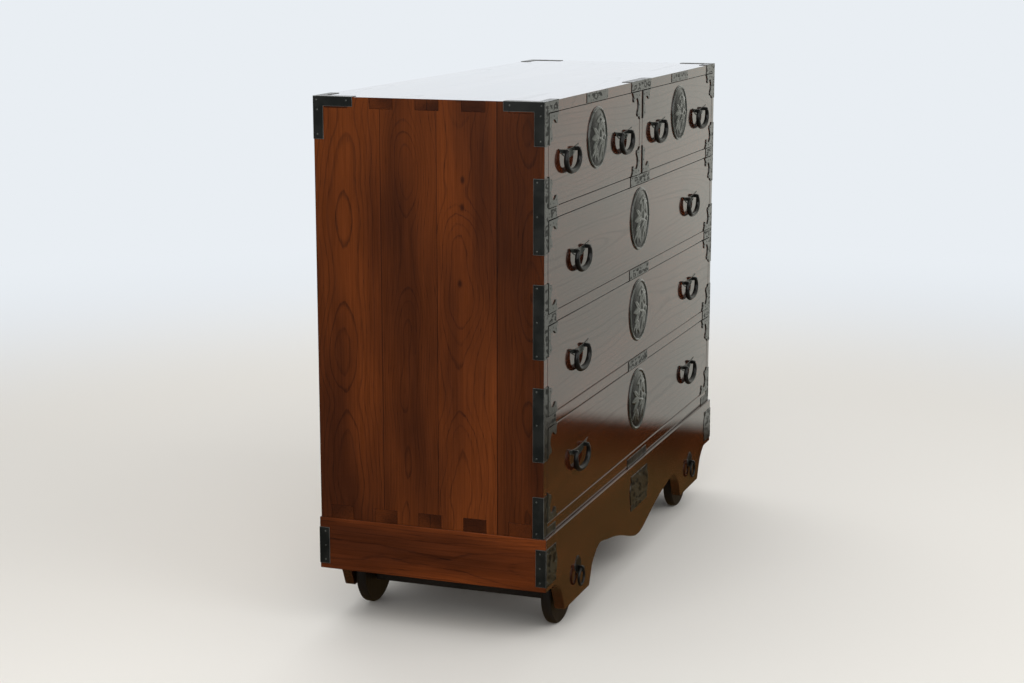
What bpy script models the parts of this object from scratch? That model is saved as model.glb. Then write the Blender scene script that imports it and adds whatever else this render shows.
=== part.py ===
"""Wheeled tansu chest: five drawers in a finger-jointed case, on a shaped plinth that hides four wheels.

The chest stands on the floor at Z = 0. Its length runs along X and its front faces -Y.
The origin is on the floor, under the middle of the whole chest. All sizes are metres.
"""

import math

import bmesh
import bpy
from mathutils import Vector

for leftover in list(bpy.data.objects):
    bpy.data.objects.remove(leftover, do_unlink=True)


# Case sizes

CASE_LENGTH = 1.2175
CASE_DEPTH = 0.450
CASE_HEIGHT = 0.804
SIDE_THICKNESS = 0.020
TOP_THICKNESS = 0.0215
BOTTOM_THICKNESS = 0.0259
RAIL_THICKNESS = 0.0209
DIVIDER_THICKNESS = 0.019
BACK_THICKNESS = 0.009
JOINT_FINGERS = 5
SEAT_GAP = 0.0003

# Heights of the drawer rows from the top one down: shares of the height that the boards leave free

ROW_SHARES = (0.2473, 0.2473, 0.245, 0.2604)

# Drawer sizes

DRAWER_REVEAL = 0.001
DRAWER_FRONT_THICKNESS = 0.020
DRAWER_FRONT_BEVEL = 0.0008
DRAWER_SIDE_CLEARANCE = 0.0012
DRAWER_TOP_CLEARANCE = 0.006
DRAWER_STOP_CLEARANCE = 0.010
DRAWER_WALL = 0.010
DRAWER_FLOOR = 0.006

# Handle sizes, with the bail's thickness as a diameter, and places as shares of half a drawer's bay

HANDLE_WIDE_SHARE = 0.688
HANDLE_SMALL_SHARE = 0.6
HINGE_ABOVE_ROW_MIDDLE = 0.0095
BAIL_STANDOFF = 0.009
BAIL_LEG_SPACING = 0.080
BAIL_DROP = 0.0385
BAIL_PIN_DIAMETER = 0.0042
BAIL_SHOULDER_DIAMETER = 0.006
BAIL_GRIP_DIAMETER = 0.009
BAIL_PIN_OVERRUN = 0.002
POST_SPACING = 0.066
POST_WIDTH = 0.005
POST_WALL = 0.0026
POST_BORE_CLEARANCE = 0.0005
HANDLE_PLATE_LENGTH = 0.120
HANDLE_PLATE_THICKNESS = 0.0012
HANDLE_PLATE_TOP_ABOVE_HINGE = 0.002
HANDLE_PLATE_TIP_RISE = 0.0055
HANDLE_PLATE_HEIGHT = 0.016

# Lock plate sizes

LOCK_PLATE_DIAMETER_WIDE = 0.131
LOCK_PLATE_DIAMETER_SMALL = 0.1195
LOCK_PLATE_BELOW_TOP_WIDE = 0.007
LOCK_PLATE_BELOW_TOP_SMALL = 0.0097
LOCK_PLATE_THICKNESS = 0.0016
LOCK_RIM_HEIGHT = 0.0032
LOCK_RIM_WIDTH = 0.0046
LOCK_RIM_SLOPE = 0.0012

# Plinth sizes

PLINTH_FRONT_OVERHANG = 0.006
PLINTH_BACK_OVERHANG = 0.005
PLINTH_SIDE_OVERHANG = 0.0034
PLINTH_BOARD = 0.020
PLINTH_HEIGHT = 0.102
FOOT_HEIGHT = 0.170
MITRE_GAP = 0.00025

# The apron's lower edge, from a corner to the middle: share of the half length, share of the foot's drop

APRON_COVE_SHARES = ((0.0946, 0.0), (0.1387, 0.25), (0.1615, 0.54), (0.1811, 0.93), (0.188, 1.0))
APRON_ARCH_SHARES = (
    (0.4360, 1.0),
    (0.4523, 0.706),
    (0.4768, 0.347),
    (0.5446, 0.015),
    (0.6352, 0.118),
    (0.7186, 0.247),
    (0.81, 0.45),
    (0.90, 0.71),
    (0.965, 0.86),
    (1.0, 0.88),
)
APRON_CURVE_STEPS = 2

# Running gear sizes, with the wheels' distance from the plinth's end as a share of its half length

WHEEL_RADIUS = 0.072
WHEEL_THICKNESS = 0.022
WHEEL_CHAMFER = 0.0015
WHEEL_FACETS = 40
WHEEL_FROM_END_SHARE = 0.291
WHEEL_TO_APRON = 0.0065
WHEEL_TO_SHOULDER = 0.001
WHEEL_TO_BEARER = 0.008
JOURNAL_RADIUS = 0.013
JOURNAL_CLEARANCE = 0.0005
JOURNAL_PROUD = 0.001
AXLE_BELOW_CASE = 0.147
AXLE_BEAM_WIDTH = 0.044
BEARER_WIDTH = 0.040
BEARER_WING_HEIGHT = 0.062

# Ring pull sizes, with the ring's thickness as a diameter

RING_DIAMETER = 0.0325
RING_ROD_DIAMETER = 0.0055
RING_STANDOFF = 0.008
RING_BELOW_CASE = 0.1105
RING_BORE_CLEARANCE = 0.0008
RING_POST_WIDTH = 0.0045
RING_PLATE_LENGTH = 0.040
RING_PLATE_HEIGHT = 0.036
RING_PLATE_DROP = 0.0105
RING_PLATE_LOBE = 0.006

# Counts that set how fine the round pieces are

ROUND_SEGMENTS = 40
ROD_SIDES = 8
BAIL_STEPS = 2
RING_SEGMENTS = 28
POST_SEGMENTS = 10
PLATE_STEPS = 6

CUT_OVERRUN = 0.002


# Places worked out from the sizes

BAIL_BORE_RADIUS = BAIL_PIN_DIAMETER / 2 + POST_BORE_CLEARANCE
RING_BORE_RADIUS = RING_ROD_DIAMETER / 2 + RING_BORE_CLEARANCE
FRONT_REACH = max(
    BAIL_STANDOFF + BAIL_BORE_RADIUS + POST_WALL,
    PLINTH_FRONT_OVERHANG + RING_STANDOFF + RING_BORE_RADIUS + POST_WALL,
)
FRONT_Y = (FRONT_REACH - CASE_DEPTH - PLINTH_BACK_OVERHANG) / 2
BACK_Y = FRONT_Y + CASE_DEPTH
AXLE_Z = WHEEL_RADIUS * math.cos(math.pi / WHEEL_FACETS)
BASE_Z = AXLE_Z + AXLE_BELOW_CASE
TOP_Z = BASE_Z + CASE_HEIGHT
HALF_LENGTH = CASE_LENGTH / 2
INNER_X = HALF_LENGTH - SIDE_THICKNESS
INNER_BACK_Y = BACK_Y - BACK_THICKNESS
INNER_TOP_Z = TOP_Z - TOP_THICKNESS

# Each row of drawers as its lowest and highest Z, from the top one down

RAILS_HEIGHT = (len(ROW_SHARES) - 1) * RAIL_THICKNESS
ROWS_HEIGHT = CASE_HEIGHT - TOP_THICKNESS - BOTTOM_THICKNESS - RAILS_HEIGHT
ROWS = []
for row_share in ROW_SHARES:
    row_top = ROWS[-1][0] - RAIL_THICKNESS if ROWS else INNER_TOP_Z
    ROWS.append((row_top - row_share * ROWS_HEIGHT, row_top))
TOP_ROW, UPPER_ROW, MIDDLE_ROW, LOWER_ROW = ROWS

# Each drawer's name, with its bay as the lowest and highest X, its row, and whether it is a wide one

DRAWERS = {
    "top_left": ((-INNER_X, -DIVIDER_THICKNESS / 2), TOP_ROW, False),
    "top_right": ((DIVIDER_THICKNESS / 2, INNER_X), TOP_ROW, False),
    "upper": ((-INNER_X, INNER_X), UPPER_ROW, True),
    "middle": ((-INNER_X, INNER_X), MIDDLE_ROW, True),
    "lower": ((-INNER_X, INNER_X), LOWER_ROW, True),
}


# Materials


def make_material(name, colour, roughness, metallic):
    """A plain Principled material."""
    material = bpy.data.materials.new(name)
    material.use_nodes = True
    shader = material.node_tree.nodes["Principled BSDF"]
    shader.inputs["Base Color"].default_value = (*colour, 1.0)
    shader.inputs["Roughness"].default_value = roughness
    shader.inputs["Metallic"].default_value = metallic
    return material


LACQUERED_WOOD = ("lacquered_zelkova", (0.17, 0.047, 0.016), 0.25, 0.0)
PLAIN_WOOD = ("plain_paulownia", (0.55, 0.40, 0.24), 0.6, 0.0)
BLACK_IRON = ("black_iron", (0.025, 0.027, 0.025), 0.4, 0.8)
DARK_WHEEL = ("dark_wheel_wood", (0.02, 0.018, 0.015), 0.55, 0.0)


def place(name, mesh, finish, location=(0, 0, 0), smooth=False):
    """Puts a mesh in the scene as one named piece with its own material."""
    if smooth:
        mesh.shade_smooth()
        mesh.set_sharp_from_angle(angle=math.radians(35))
    piece = bpy.data.objects.new(name, mesh)
    piece.location = location
    bpy.context.scene.collection.objects.link(piece)
    if not mesh.materials:
        mesh.materials.append(None)
    piece.material_slots[0].link = "OBJECT"
    material_name, colour, roughness, metallic = finish
    piece.material_slots[0].material = make_material(name + "_" + material_name, colour, roughness, metallic)
    return piece


# Mesh helpers


def closed_mesh(name, points, faces):
    """A mesh from points and faces, with every face turned outwards."""
    shape = bmesh.new()
    verts = [shape.verts.new(point) for point in points]
    for face in faces:
        shape.faces.new([verts[index] for index in face])
    bmesh.ops.recalc_face_normals(shape, faces=shape.faces)
    mesh = bpy.data.meshes.new(name)
    shape.to_mesh(mesh)
    shape.free()
    return mesh


def prism_mesh(name, near, far):
    """A solid between two outlines that have the same number of points."""
    count = len(near)
    faces = [tuple(range(count)), tuple(range(2 * count - 1, count - 1, -1))]
    for index in range(count):
        following = (index + 1) % count
        faces.append((index, following, count + following, count + index))
    return closed_mesh(name, list(near) + list(far), faces)


def box_mesh(name, low, high):
    """A box between two corners."""
    corners = ((low[0], low[1]), (high[0], low[1]), (high[0], high[1]), (low[0], high[1]))
    near = [(x, y, low[2]) for x, y in corners]
    far = [(x, y, high[2]) for x, y in corners]
    return prism_mesh(name, near, far)


def turned_mesh(name, profile, segments, ring=False):
    """A profile of (radius, Y) turned around the Y axis, as a disc or, with ring, as a closed hoop."""
    turns = [(index + 0.5) * math.tau / segments for index in range(segments)]
    points = []
    for radius, along in profile:
        points += [(radius * math.sin(turn), along, radius * math.cos(turn)) for turn in turns]
    rows = len(profile)
    faces = []
    for row in range(rows if ring else rows - 1):
        low = row * segments
        high = (row + 1) % rows * segments
        for index in range(segments):
            following = (index + 1) % segments
            faces.append((low + index, low + following, high + following, high + index))
    if not ring:
        faces.append(tuple(range(segments)))
        faces.append(tuple(range((rows - 1) * segments, rows * segments)))
    return closed_mesh(name, points, faces)


def rod_mesh(name, route, radii, hoop=False):
    """A round rod along a route in the XZ plane, closed on itself if hoop is set."""
    count = len(route)
    points = []
    for index, (place_x, place_z) in enumerate(route):
        before = route[(index - 1) % count] if hoop else route[max(index - 1, 0)]
        after = route[(index + 1) % count] if hoop else route[min(index + 1, count - 1)]
        across = Vector((after[1] - before[1], 0, before[0] - after[0])).normalized()
        for side in range(ROD_SIDES):
            turn = side * math.tau / ROD_SIDES
            offset = across * math.cos(turn) + Vector((0, 1, 0)) * math.sin(turn)
            points.append(Vector((place_x, 0, place_z)) + offset * radii[index])
    faces = []
    for index in range(count if hoop else count - 1):
        low = index * ROD_SIDES
        high = (index + 1) % count * ROD_SIDES
        for side in range(ROD_SIDES):
            following = (side + 1) % ROD_SIDES
            faces.append((low + side, low + following, high + following, high + side))
    if not hoop:
        faces.append(tuple(range(ROD_SIDES)))
        faces.append(tuple(range((count - 1) * ROD_SIDES, count * ROD_SIDES)))
    return closed_mesh(name, points, faces)


def combined_mesh(name, base, tools):
    """Adds meshes to a base mesh, or cuts them out of it, and returns the result as one mesh."""
    host = bpy.data.objects.new(name, base)
    bpy.context.scene.collection.objects.link(host)
    helpers = []
    for operation, tool in tools:
        helper = bpy.data.objects.new(tool.name, tool)
        bpy.context.scene.collection.objects.link(helper)
        helpers.append(helper)
        modifier = host.modifiers.new(tool.name, "BOOLEAN")
        modifier.operation = operation
        modifier.solver = "EXACT"
        modifier.object = helper
    graph = bpy.context.evaluated_depsgraph_get()
    mesh = bpy.data.meshes.new_from_object(host.evaluated_get(graph))
    for used in [host, *helpers]:
        bpy.data.objects.remove(used, do_unlink=True)
    return mesh


def smooth_curve(points, steps):
    """Points along a smooth curve through the given points, with some steps in each span."""
    padded = [points[0], *points, points[-1]]
    curve = []
    for index in range(1, len(padded) - 2):
        before, start, end, after = padded[index - 1 : index + 3]
        for step in range(steps):
            share = step / steps
            axes = zip(before, start, end, after)
            curve.append(tuple(catmull(*values, share) for values in axes))
    return [*curve, tuple(points[-1])]


def catmull(before, start, end, after, share):
    """One coordinate of a Catmull-Rom curve between start and end."""
    pull = end - before
    bend = 2 * before - 5 * start + 4 * end - after
    twist = 3 * start - before - 3 * end + after
    return (2 * start + share * (pull + share * (bend + share * twist))) / 2


def mirrored(half):
    """A full outline from its right half, which starts and ends on the middle line."""
    return [*half, *[(-x, z) for x, z in reversed(half[1:-1])]]


def bevel(piece, width):
    """Rounds off a piece's edges a little."""
    modifier = piece.modifiers.new("soft_edges", "BEVEL")
    modifier.width = width
    modifier.segments = 1
    modifier.limit_method = "ANGLE"
    modifier.angle_limit = math.radians(40)


# Case

FINGER_PITCH = CASE_DEPTH / JOINT_FINGERS
FINGER_WIDTH = FINGER_PITCH / 2
FINGER_MIDDLES = [FRONT_Y + (index + 0.5) * FINGER_PITCH for index in range(JOINT_FINGERS)]
FINGER_STARTS = [middle - FINGER_WIDTH / 2 for middle in FINGER_MIDDLES]


def board_with_fingers(name, low_z, high_z):
    """A top or bottom board whose fingers run through both side panels."""
    shoulder_x = INNER_X - SEAT_GAP
    right_edge = [(shoulder_x, FRONT_Y)]
    for start in FINGER_STARTS:
        right_edge.append((shoulder_x, start))
        right_edge.append((HALF_LENGTH, start))
        right_edge.append((HALF_LENGTH, start + FINGER_WIDTH))
        right_edge.append((shoulder_x, start + FINGER_WIDTH))
    right_edge.append((shoulder_x, BACK_Y))
    outline = [*right_edge, *[(-x, y) for x, y in reversed(right_edge)]]
    near = [(x, y, low_z) for x, y in outline]
    far = [(x, y, high_z) for x, y in outline]
    place(name, prism_mesh(name, near, far), LACQUERED_WOOD)


def side_panel(name, side):
    """A side panel with notches for the fingers of the top and bottom boards."""
    notch_floor = BASE_Z + BOTTOM_THICKNESS + SEAT_GAP
    notch_roof = INNER_TOP_Z - SEAT_GAP
    lower_edge = [(FRONT_Y, BASE_Z)]
    upper_edge = [(FRONT_Y, TOP_Z)]
    for start in FINGER_STARTS:
        near_y = start - SEAT_GAP
        far_y = start + FINGER_WIDTH + SEAT_GAP
        lower_edge += [(near_y, BASE_Z), (near_y, notch_floor), (far_y, notch_floor), (far_y, BASE_Z)]
        upper_edge += [(near_y, TOP_Z), (near_y, notch_roof), (far_y, notch_roof), (far_y, TOP_Z)]
    outline = [*lower_edge, (BACK_Y, BASE_Z), (BACK_Y, TOP_Z), *reversed(upper_edge)]
    near = [(side * INNER_X, y, z) for y, z in outline]
    far = [(side * HALF_LENGTH, y, z) for y, z in outline]
    place(name, prism_mesh(name, near, far), LACQUERED_WOOD)


def rail_board(name, row_above):
    """A full-depth board under a row of drawers, whose front edge is the rail that shows."""
    half = INNER_X - SEAT_GAP
    high_z = row_above[0]
    low = (-half, FRONT_Y, high_z - RAIL_THICKNESS)
    high = (half, INNER_BACK_Y - SEAT_GAP, high_z)
    place(name, box_mesh(name, low, high), LACQUERED_WOOD)


def build_case():
    board_with_fingers("top_board", INNER_TOP_Z, TOP_Z)
    board_with_fingers("bottom_board", BASE_Z, BASE_Z + BOTTOM_THICKNESS)
    side_panel("side_panel_left", -1)
    side_panel("side_panel_right", 1)
    rail_board("rail_board_upper", TOP_ROW)
    rail_board("rail_board_middle", UPPER_ROW)
    rail_board("rail_board_lower", MIDDLE_ROW)
    back_low = (-INNER_X + SEAT_GAP, INNER_BACK_Y, BASE_Z + BOTTOM_THICKNESS + SEAT_GAP)
    back_high = (INNER_X - SEAT_GAP, BACK_Y, INNER_TOP_Z - SEAT_GAP)
    place("back_panel", box_mesh("back_panel", back_low, back_high), PLAIN_WOOD)
    divider_low = (-DIVIDER_THICKNESS / 2, FRONT_Y, TOP_ROW[0] + SEAT_GAP)
    divider_high = (DIVIDER_THICKNESS / 2, INNER_BACK_Y - SEAT_GAP, INNER_TOP_Z - SEAT_GAP)
    place("drawer_divider", box_mesh("drawer_divider", divider_low, divider_high), LACQUERED_WOOD)


# Drawers


def drawer_front(name, bay, row):
    """The thick front board of a drawer, flush with the case and a thin gap smaller than its bay."""
    low = (bay[0] + DRAWER_REVEAL, FRONT_Y, row[0] + DRAWER_REVEAL)
    high = (bay[1] - DRAWER_REVEAL, FRONT_Y + DRAWER_FRONT_THICKNESS, row[1] - DRAWER_REVEAL)
    board = place("drawer_front_" + name, box_mesh(name, low, high), LACQUERED_WOOD)
    bevel(board, DRAWER_FRONT_BEVEL)


def drawer_box(name, bay, row):
    """The tray behind a drawer front: a floor, two sides and a back, in one piece."""
    front_y = FRONT_Y + DRAWER_FRONT_THICKNESS + SEAT_GAP
    low = (bay[0] + DRAWER_SIDE_CLEARANCE, front_y, row[0] + SEAT_GAP)
    back_y = INNER_BACK_Y - DRAWER_STOP_CLEARANCE
    high = (bay[1] - DRAWER_SIDE_CLEARANCE, back_y, row[1] - DRAWER_TOP_CLEARANCE)
    hollow_low = (low[0] + DRAWER_WALL, low[1] - CUT_OVERRUN, low[2] + DRAWER_FLOOR)
    hollow_high = (high[0] - DRAWER_WALL, high[1] - DRAWER_WALL, high[2] + CUT_OVERRUN)
    block = box_mesh("tray_block", low, high)
    hollow = box_mesh("tray_hollow", hollow_low, hollow_high)
    tray = combined_mesh("tray", block, [("DIFFERENCE", hollow)])
    place("drawer_box_" + name, tray, PLAIN_WOOD)


# Handles


def pierced_post(name, reach, bore, width):
    """A post that stands off a plate, with a bore along X through its round end, at the origin."""
    outer = bore + POST_WALL
    turns = [math.pi * index / POST_SEGMENTS for index in range(POST_SEGMENTS + 1)]
    outline = [(-outer * math.sin(turn), outer * math.cos(turn)) for turn in turns]
    outline = [(reach, outer), *outline, (reach, -outer)]
    near = [(-width / 2, y, z) for y, z in outline]
    far = [(width / 2, y, z) for y, z in outline]
    post = prism_mesh(name, near, far)
    half_cut = width / 2 + CUT_OVERRUN
    circle = [index * math.tau / POST_SEGMENTS for index in range(POST_SEGMENTS)]
    cut_near = [(-half_cut, bore * math.sin(turn), bore * math.cos(turn)) for turn in circle]
    cut_far = [(half_cut, y, z) for _, y, z in cut_near]
    return combined_mesh(name, post, [("DIFFERENCE", prism_mesh(name + "_bore", cut_near, cut_far))])


def moved(mesh, offset):
    """The same mesh, shifted."""
    for vertex in mesh.vertices:
        vertex.co += Vector(offset)
    return mesh


def crescent_outline():
    """The handle's back plate: a crescent with its tips up, as X and Z about the hinge."""
    half = HANDLE_PLATE_LENGTH / 2
    shares = [index / PLATE_STEPS for index in range(PLATE_STEPS + 1)]
    rises = [HANDLE_PLATE_TIP_RISE * share**2 for share in shares]
    upper = [(share * half, HANDLE_PLATE_TOP_ABOVE_HINGE + rise) for share, rise in zip(shares, rises)]
    lower = [(x, z - HANDLE_PLATE_HEIGHT * math.cos(x / half * math.pi / 2)) for x, z in upper[:-1]]
    right = [*upper, *reversed(lower)]
    return mirrored(right)


def handle_plate_mesh():
    """The crescent plate with its two pierced posts, as one forged piece about the hinge line."""
    back_y = BAIL_STANDOFF - SEAT_GAP
    front_y = back_y - HANDLE_PLATE_THICKNESS
    outline = crescent_outline()
    plate = prism_mesh("plate", [(x, front_y, z) for x, z in outline], [(x, back_y, z) for x, z in outline])
    reach = front_y + HANDLE_PLATE_THICKNESS / 2
    posts = []
    for side in (-1, 1):
        post = pierced_post("post", reach, BAIL_BORE_RADIUS, POST_WIDTH)
        posts.append(("UNION", moved(post, (side * POST_SPACING / 2, 0, 0))))
    return combined_mesh("handle_plate", plate, posts)


# The bail's right half, from its pin to the middle of the grip: share of the leg's X, share of the drop

BAIL_SHARES = (
    (0.945, 0.0),
    (0.99, 0.085),
    (1.0, 0.25),
    (0.985, 0.50),
    (0.87, 0.75),
    (0.62, 0.92),
    (0.31, 0.985),
    (0.0, 1.0),
)
BAIL_SWELL_SHARES = (0.0, 0.0, 0.30, 0.55, 0.80, 0.95, 1.0, 1.0)


def bail_mesh():
    """The hanging bail: a rod that swells towards its grip, with a pin at each end, about its hinge line."""
    leg_x = BAIL_LEG_SPACING / 2
    half = [(share_x * leg_x, -share_z * BAIL_DROP) for share_x, share_z in BAIL_SHARES]
    extra = BAIL_GRIP_DIAMETER - BAIL_SHOULDER_DIAMETER
    swell = [BAIL_SHOULDER_DIAMETER + share * extra for share in BAIL_SWELL_SHARES]
    swell[0] = BAIL_PIN_DIAMETER
    spans = smooth_curve([(x, width) for (x, _), width in zip(half, swell)], BAIL_STEPS)
    curve = smooth_curve(half, BAIL_STEPS)
    pin_end = (POST_SPACING / 2 - POST_WIDTH / 2 - BAIL_PIN_OVERRUN, 0.0)
    right = [pin_end, *curve]
    radii = [BAIL_PIN_DIAMETER / 2, *[width / 2 for _, width in spans]]
    route = [*right, *[(-x, z) for x, z in reversed(right[:-1])]]
    return rod_mesh("bail", route, [*radii, *reversed(radii[:-1])])


def drawer_handles(name, bay, row, wide, plate_mesh, hinged_mesh):
    """Two handles on a drawer, each a plate on the front and a bail with its origin on its hinge line."""
    middle = (bay[0] + bay[1]) / 2
    apart = (bay[1] - bay[0]) / 2 * (HANDLE_WIDE_SHARE if wide else HANDLE_SMALL_SHARE)
    hinge_z = (row[0] + row[1]) / 2 + HINGE_ABOVE_ROW_MIDDLE
    for side_name, side in (("left", -1), ("right", 1)):
        hinge = (middle + side * apart, FRONT_Y - BAIL_STANDOFF, hinge_z)
        place("handle_plate_" + name + "_" + side_name, plate_mesh, BLACK_IRON, hinge)
        place("bail_" + name + "_" + side_name, hinged_mesh, BLACK_IRON, hinge, smooth=True)


# Lock plates


def lock_plate(name, bay, row, wide):
    """The round plate over a drawer's lock, with a raised rim."""
    diameter = LOCK_PLATE_DIAMETER_WIDE if wide else LOCK_PLATE_DIAMETER_SMALL
    below_top = LOCK_PLATE_BELOW_TOP_WIDE if wide else LOCK_PLATE_BELOW_TOP_SMALL
    radius = diameter / 2
    field = radius - LOCK_RIM_WIDTH
    profile = [
        (field, -LOCK_PLATE_THICKNESS),
        (field + LOCK_RIM_SLOPE, -LOCK_RIM_HEIGHT),
        (radius - LOCK_RIM_SLOPE, -LOCK_RIM_HEIGHT),
        (radius, -LOCK_PLATE_THICKNESS),
        (radius, 0.0),
    ]
    centre = ((bay[0] + bay[1]) / 2, FRONT_Y - SEAT_GAP, row[1] - below_top - radius)
    place("lock_plate_" + name, turned_mesh(name, profile, ROUND_SEGMENTS), BLACK_IRON, centre, smooth=True)


def build_drawers():
    plate_mesh = handle_plate_mesh()
    hinged_mesh = bail_mesh()
    for name, (bay, row, wide) in DRAWERS.items():
        drawer_front(name, bay, row)
        drawer_box(name, bay, row)
        lock_plate(name, bay, row, wide)
        drawer_handles(name, bay, row, wide, plate_mesh, hinged_mesh)


# Plinth

PLINTH_TOP_Z = BASE_Z - SEAT_GAP
RAIL_BOTTOM_Z = BASE_Z - PLINTH_HEIGHT
FOOT_BOTTOM_Z = BASE_Z - FOOT_HEIGHT
PLINTH_HALF_LENGTH = HALF_LENGTH + PLINTH_SIDE_OVERHANG
PLINTH_FRONT_Y = FRONT_Y - PLINTH_FRONT_OVERHANG
PLINTH_BACK_Y = BACK_Y + PLINTH_BACK_OVERHANG


def apron_edge(shares):
    """Points on the apron's lower edge at the right-hand end, from shares counted from the corner."""
    foot_drop = RAIL_BOTTOM_Z - FOOT_BOTTOM_Z
    return [(PLINTH_HALF_LENGTH * (1 - along), RAIL_BOTTOM_Z - foot_drop * down) for along, down in shares]


def apron(name, outer_y, inward):
    """A front or back apron: a board with feet, two arches and a low middle, mitred at its ends."""
    cove = smooth_curve(apron_edge(APRON_COVE_SHARES), APRON_CURVE_STEPS)
    arch = smooth_curve(apron_edge(APRON_ARCH_SHARES), APRON_CURVE_STEPS)
    end_x = PLINTH_HALF_LENGTH
    right = [(0.0, PLINTH_TOP_Z), (end_x, PLINTH_TOP_Z), (end_x, RAIL_BOTTOM_Z), *cove, *arch]
    outline = mirrored(right)
    outer = [(clipped(x, MITRE_GAP), outer_y, z) for x, z in outline]
    inner = [(clipped(x, MITRE_GAP + PLINTH_BOARD), outer_y + inward * PLINTH_BOARD, z) for x, z in outline]
    place(name, prism_mesh(name, outer, inner), LACQUERED_WOOD)


def clipped(x, cut):
    """X drawn in at the plinth's ends, where the mitre cuts the board."""
    limit = PLINTH_HALF_LENGTH - cut
    return max(-limit, min(limit, x))


def plinth_rail(name, side):
    """A straight side rail of the plinth, mitred at both ends."""
    faces = []
    for depth in (0, PLINTH_BOARD):
        x = side * (PLINTH_HALF_LENGTH - depth)
        near_y = PLINTH_FRONT_Y + MITRE_GAP + depth
        far_y = PLINTH_BACK_Y - MITRE_GAP - depth
        lower = [(x, near_y, RAIL_BOTTOM_Z), (x, far_y, RAIL_BOTTOM_Z)]
        upper = [(x, far_y, PLINTH_TOP_Z), (x, near_y, PLINTH_TOP_Z)]
        faces.append([*lower, *upper])
    place(name, prism_mesh(name, *faces), LACQUERED_WOOD)


def build_plinth():
    apron("plinth_apron_front", PLINTH_FRONT_Y, 1)
    apron("plinth_apron_back", PLINTH_BACK_Y, -1)
    plinth_rail("plinth_rail_left", -1)
    plinth_rail("plinth_rail_right", 1)


# Running gear

INNER_APRON_FRONT_Y = PLINTH_FRONT_Y + PLINTH_BOARD
INNER_APRON_BACK_Y = PLINTH_BACK_Y - PLINTH_BOARD
WHEEL_FRONT_Y = INNER_APRON_FRONT_Y + WHEEL_TO_APRON + WHEEL_THICKNESS / 2
WHEEL_BACK_Y = INNER_APRON_BACK_Y - WHEEL_TO_APRON - WHEEL_THICKNESS / 2


def wheel_mesh():
    """A solid wheel about its hub's middle, with chamfered edges and a bore for the journal."""
    half = WHEEL_THICKNESS / 2
    bore = JOURNAL_RADIUS + JOURNAL_CLEARANCE
    profile = [
        (bore, -half),
        (WHEEL_RADIUS - WHEEL_CHAMFER, -half),
        (WHEEL_RADIUS, -half + WHEEL_CHAMFER),
        (WHEEL_RADIUS, half - WHEEL_CHAMFER),
        (WHEEL_RADIUS - WHEEL_CHAMFER, half),
        (bore, half),
    ]
    return turned_mesh("wheel", profile, WHEEL_FACETS, ring=True)


def axle(name, x):
    """A squared beam with a turned journal at each end, for a front and a back wheel."""
    beam_half = AXLE_BEAM_WIDTH / 2
    shoulder = WHEEL_THICKNESS / 2 + WHEEL_TO_SHOULDER
    low = (x - beam_half, WHEEL_FRONT_Y + shoulder, AXLE_Z - beam_half)
    high = (x + beam_half, WHEEL_BACK_Y - shoulder, AXLE_Z + beam_half)
    end = WHEEL_THICKNESS / 2 + JOURNAL_PROUD
    profile = [(JOURNAL_RADIUS, WHEEL_FRONT_Y - end), (JOURNAL_RADIUS, WHEEL_BACK_Y + end)]
    journals = moved(turned_mesh("journals", profile, ROUND_SEGMENTS), (x, 0, AXLE_Z))
    place(name, combined_mesh(name, box_mesh(name, low, high), [("UNION", journals)]), DARK_WHEEL)


def axle_bearer(name, x):
    """A hanger under the case: wings that reach both aprons, and a body that rests on the axle."""
    body_inset = WHEEL_THICKNESS / 2 + WHEEL_TO_BEARER
    body_front = WHEEL_FRONT_Y + body_inset
    body_back = WHEEL_BACK_Y - body_inset
    wing_front = INNER_APRON_FRONT_Y + SEAT_GAP
    wing_back = INNER_APRON_BACK_Y - SEAT_GAP
    wing_z = PLINTH_TOP_Z - BEARER_WING_HEIGHT
    foot_z = AXLE_Z + AXLE_BEAM_WIDTH / 2 + SEAT_GAP
    outline = [
        (wing_front, PLINTH_TOP_Z),
        (wing_front, wing_z),
        (body_front, wing_z),
        (body_front, foot_z),
        (body_back, foot_z),
        (body_back, wing_z),
        (wing_back, wing_z),
        (wing_back, PLINTH_TOP_Z),
    ]
    near = [(x - BEARER_WIDTH / 2, y, z) for y, z in outline]
    far = [(x + BEARER_WIDTH / 2, y, z) for y, z in outline]
    place(name, prism_mesh(name, near, far), PLAIN_WOOD)


def build_running_gear():
    disc = wheel_mesh()
    for side_name, side in (("left", -1), ("right", 1)):
        x = side * PLINTH_HALF_LENGTH * (1 - WHEEL_FROM_END_SHARE)
        axle_bearer("axle_bearer_" + side_name, x)
        axle("axle_" + side_name, x)
        for end_name, y in (("front", WHEEL_FRONT_Y), ("back", WHEEL_BACK_Y)):
            place("wheel_" + end_name + "_" + side_name, disc, DARK_WHEEL, (x, y, AXLE_Z), smooth=True)


# Ring pulls

FOOT_MIDDLE_SHARE = (APRON_COVE_SHARES[-1][0] + APRON_ARCH_SHARES[0][0]) / 2
RING_X = PLINTH_HALF_LENGTH * (1 - FOOT_MIDDLE_SHARE)


def ring_plate_outline():
    """The ring's back plate: upright, with a lobed top, as X and Z about the hinge."""
    half = RING_PLATE_LENGTH / 2
    low_z = -RING_PLATE_DROP
    high_z = low_z + RING_PLATE_HEIGHT
    waist = half - RING_PLATE_LOBE
    right = [
        (0.0, high_z),
        (waist, high_z - RING_PLATE_LOBE),
        (half, (low_z + high_z) / 2),
        (waist, low_z + RING_PLATE_LOBE),
        (0.0, low_z),
    ]
    return mirrored(right)


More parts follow.
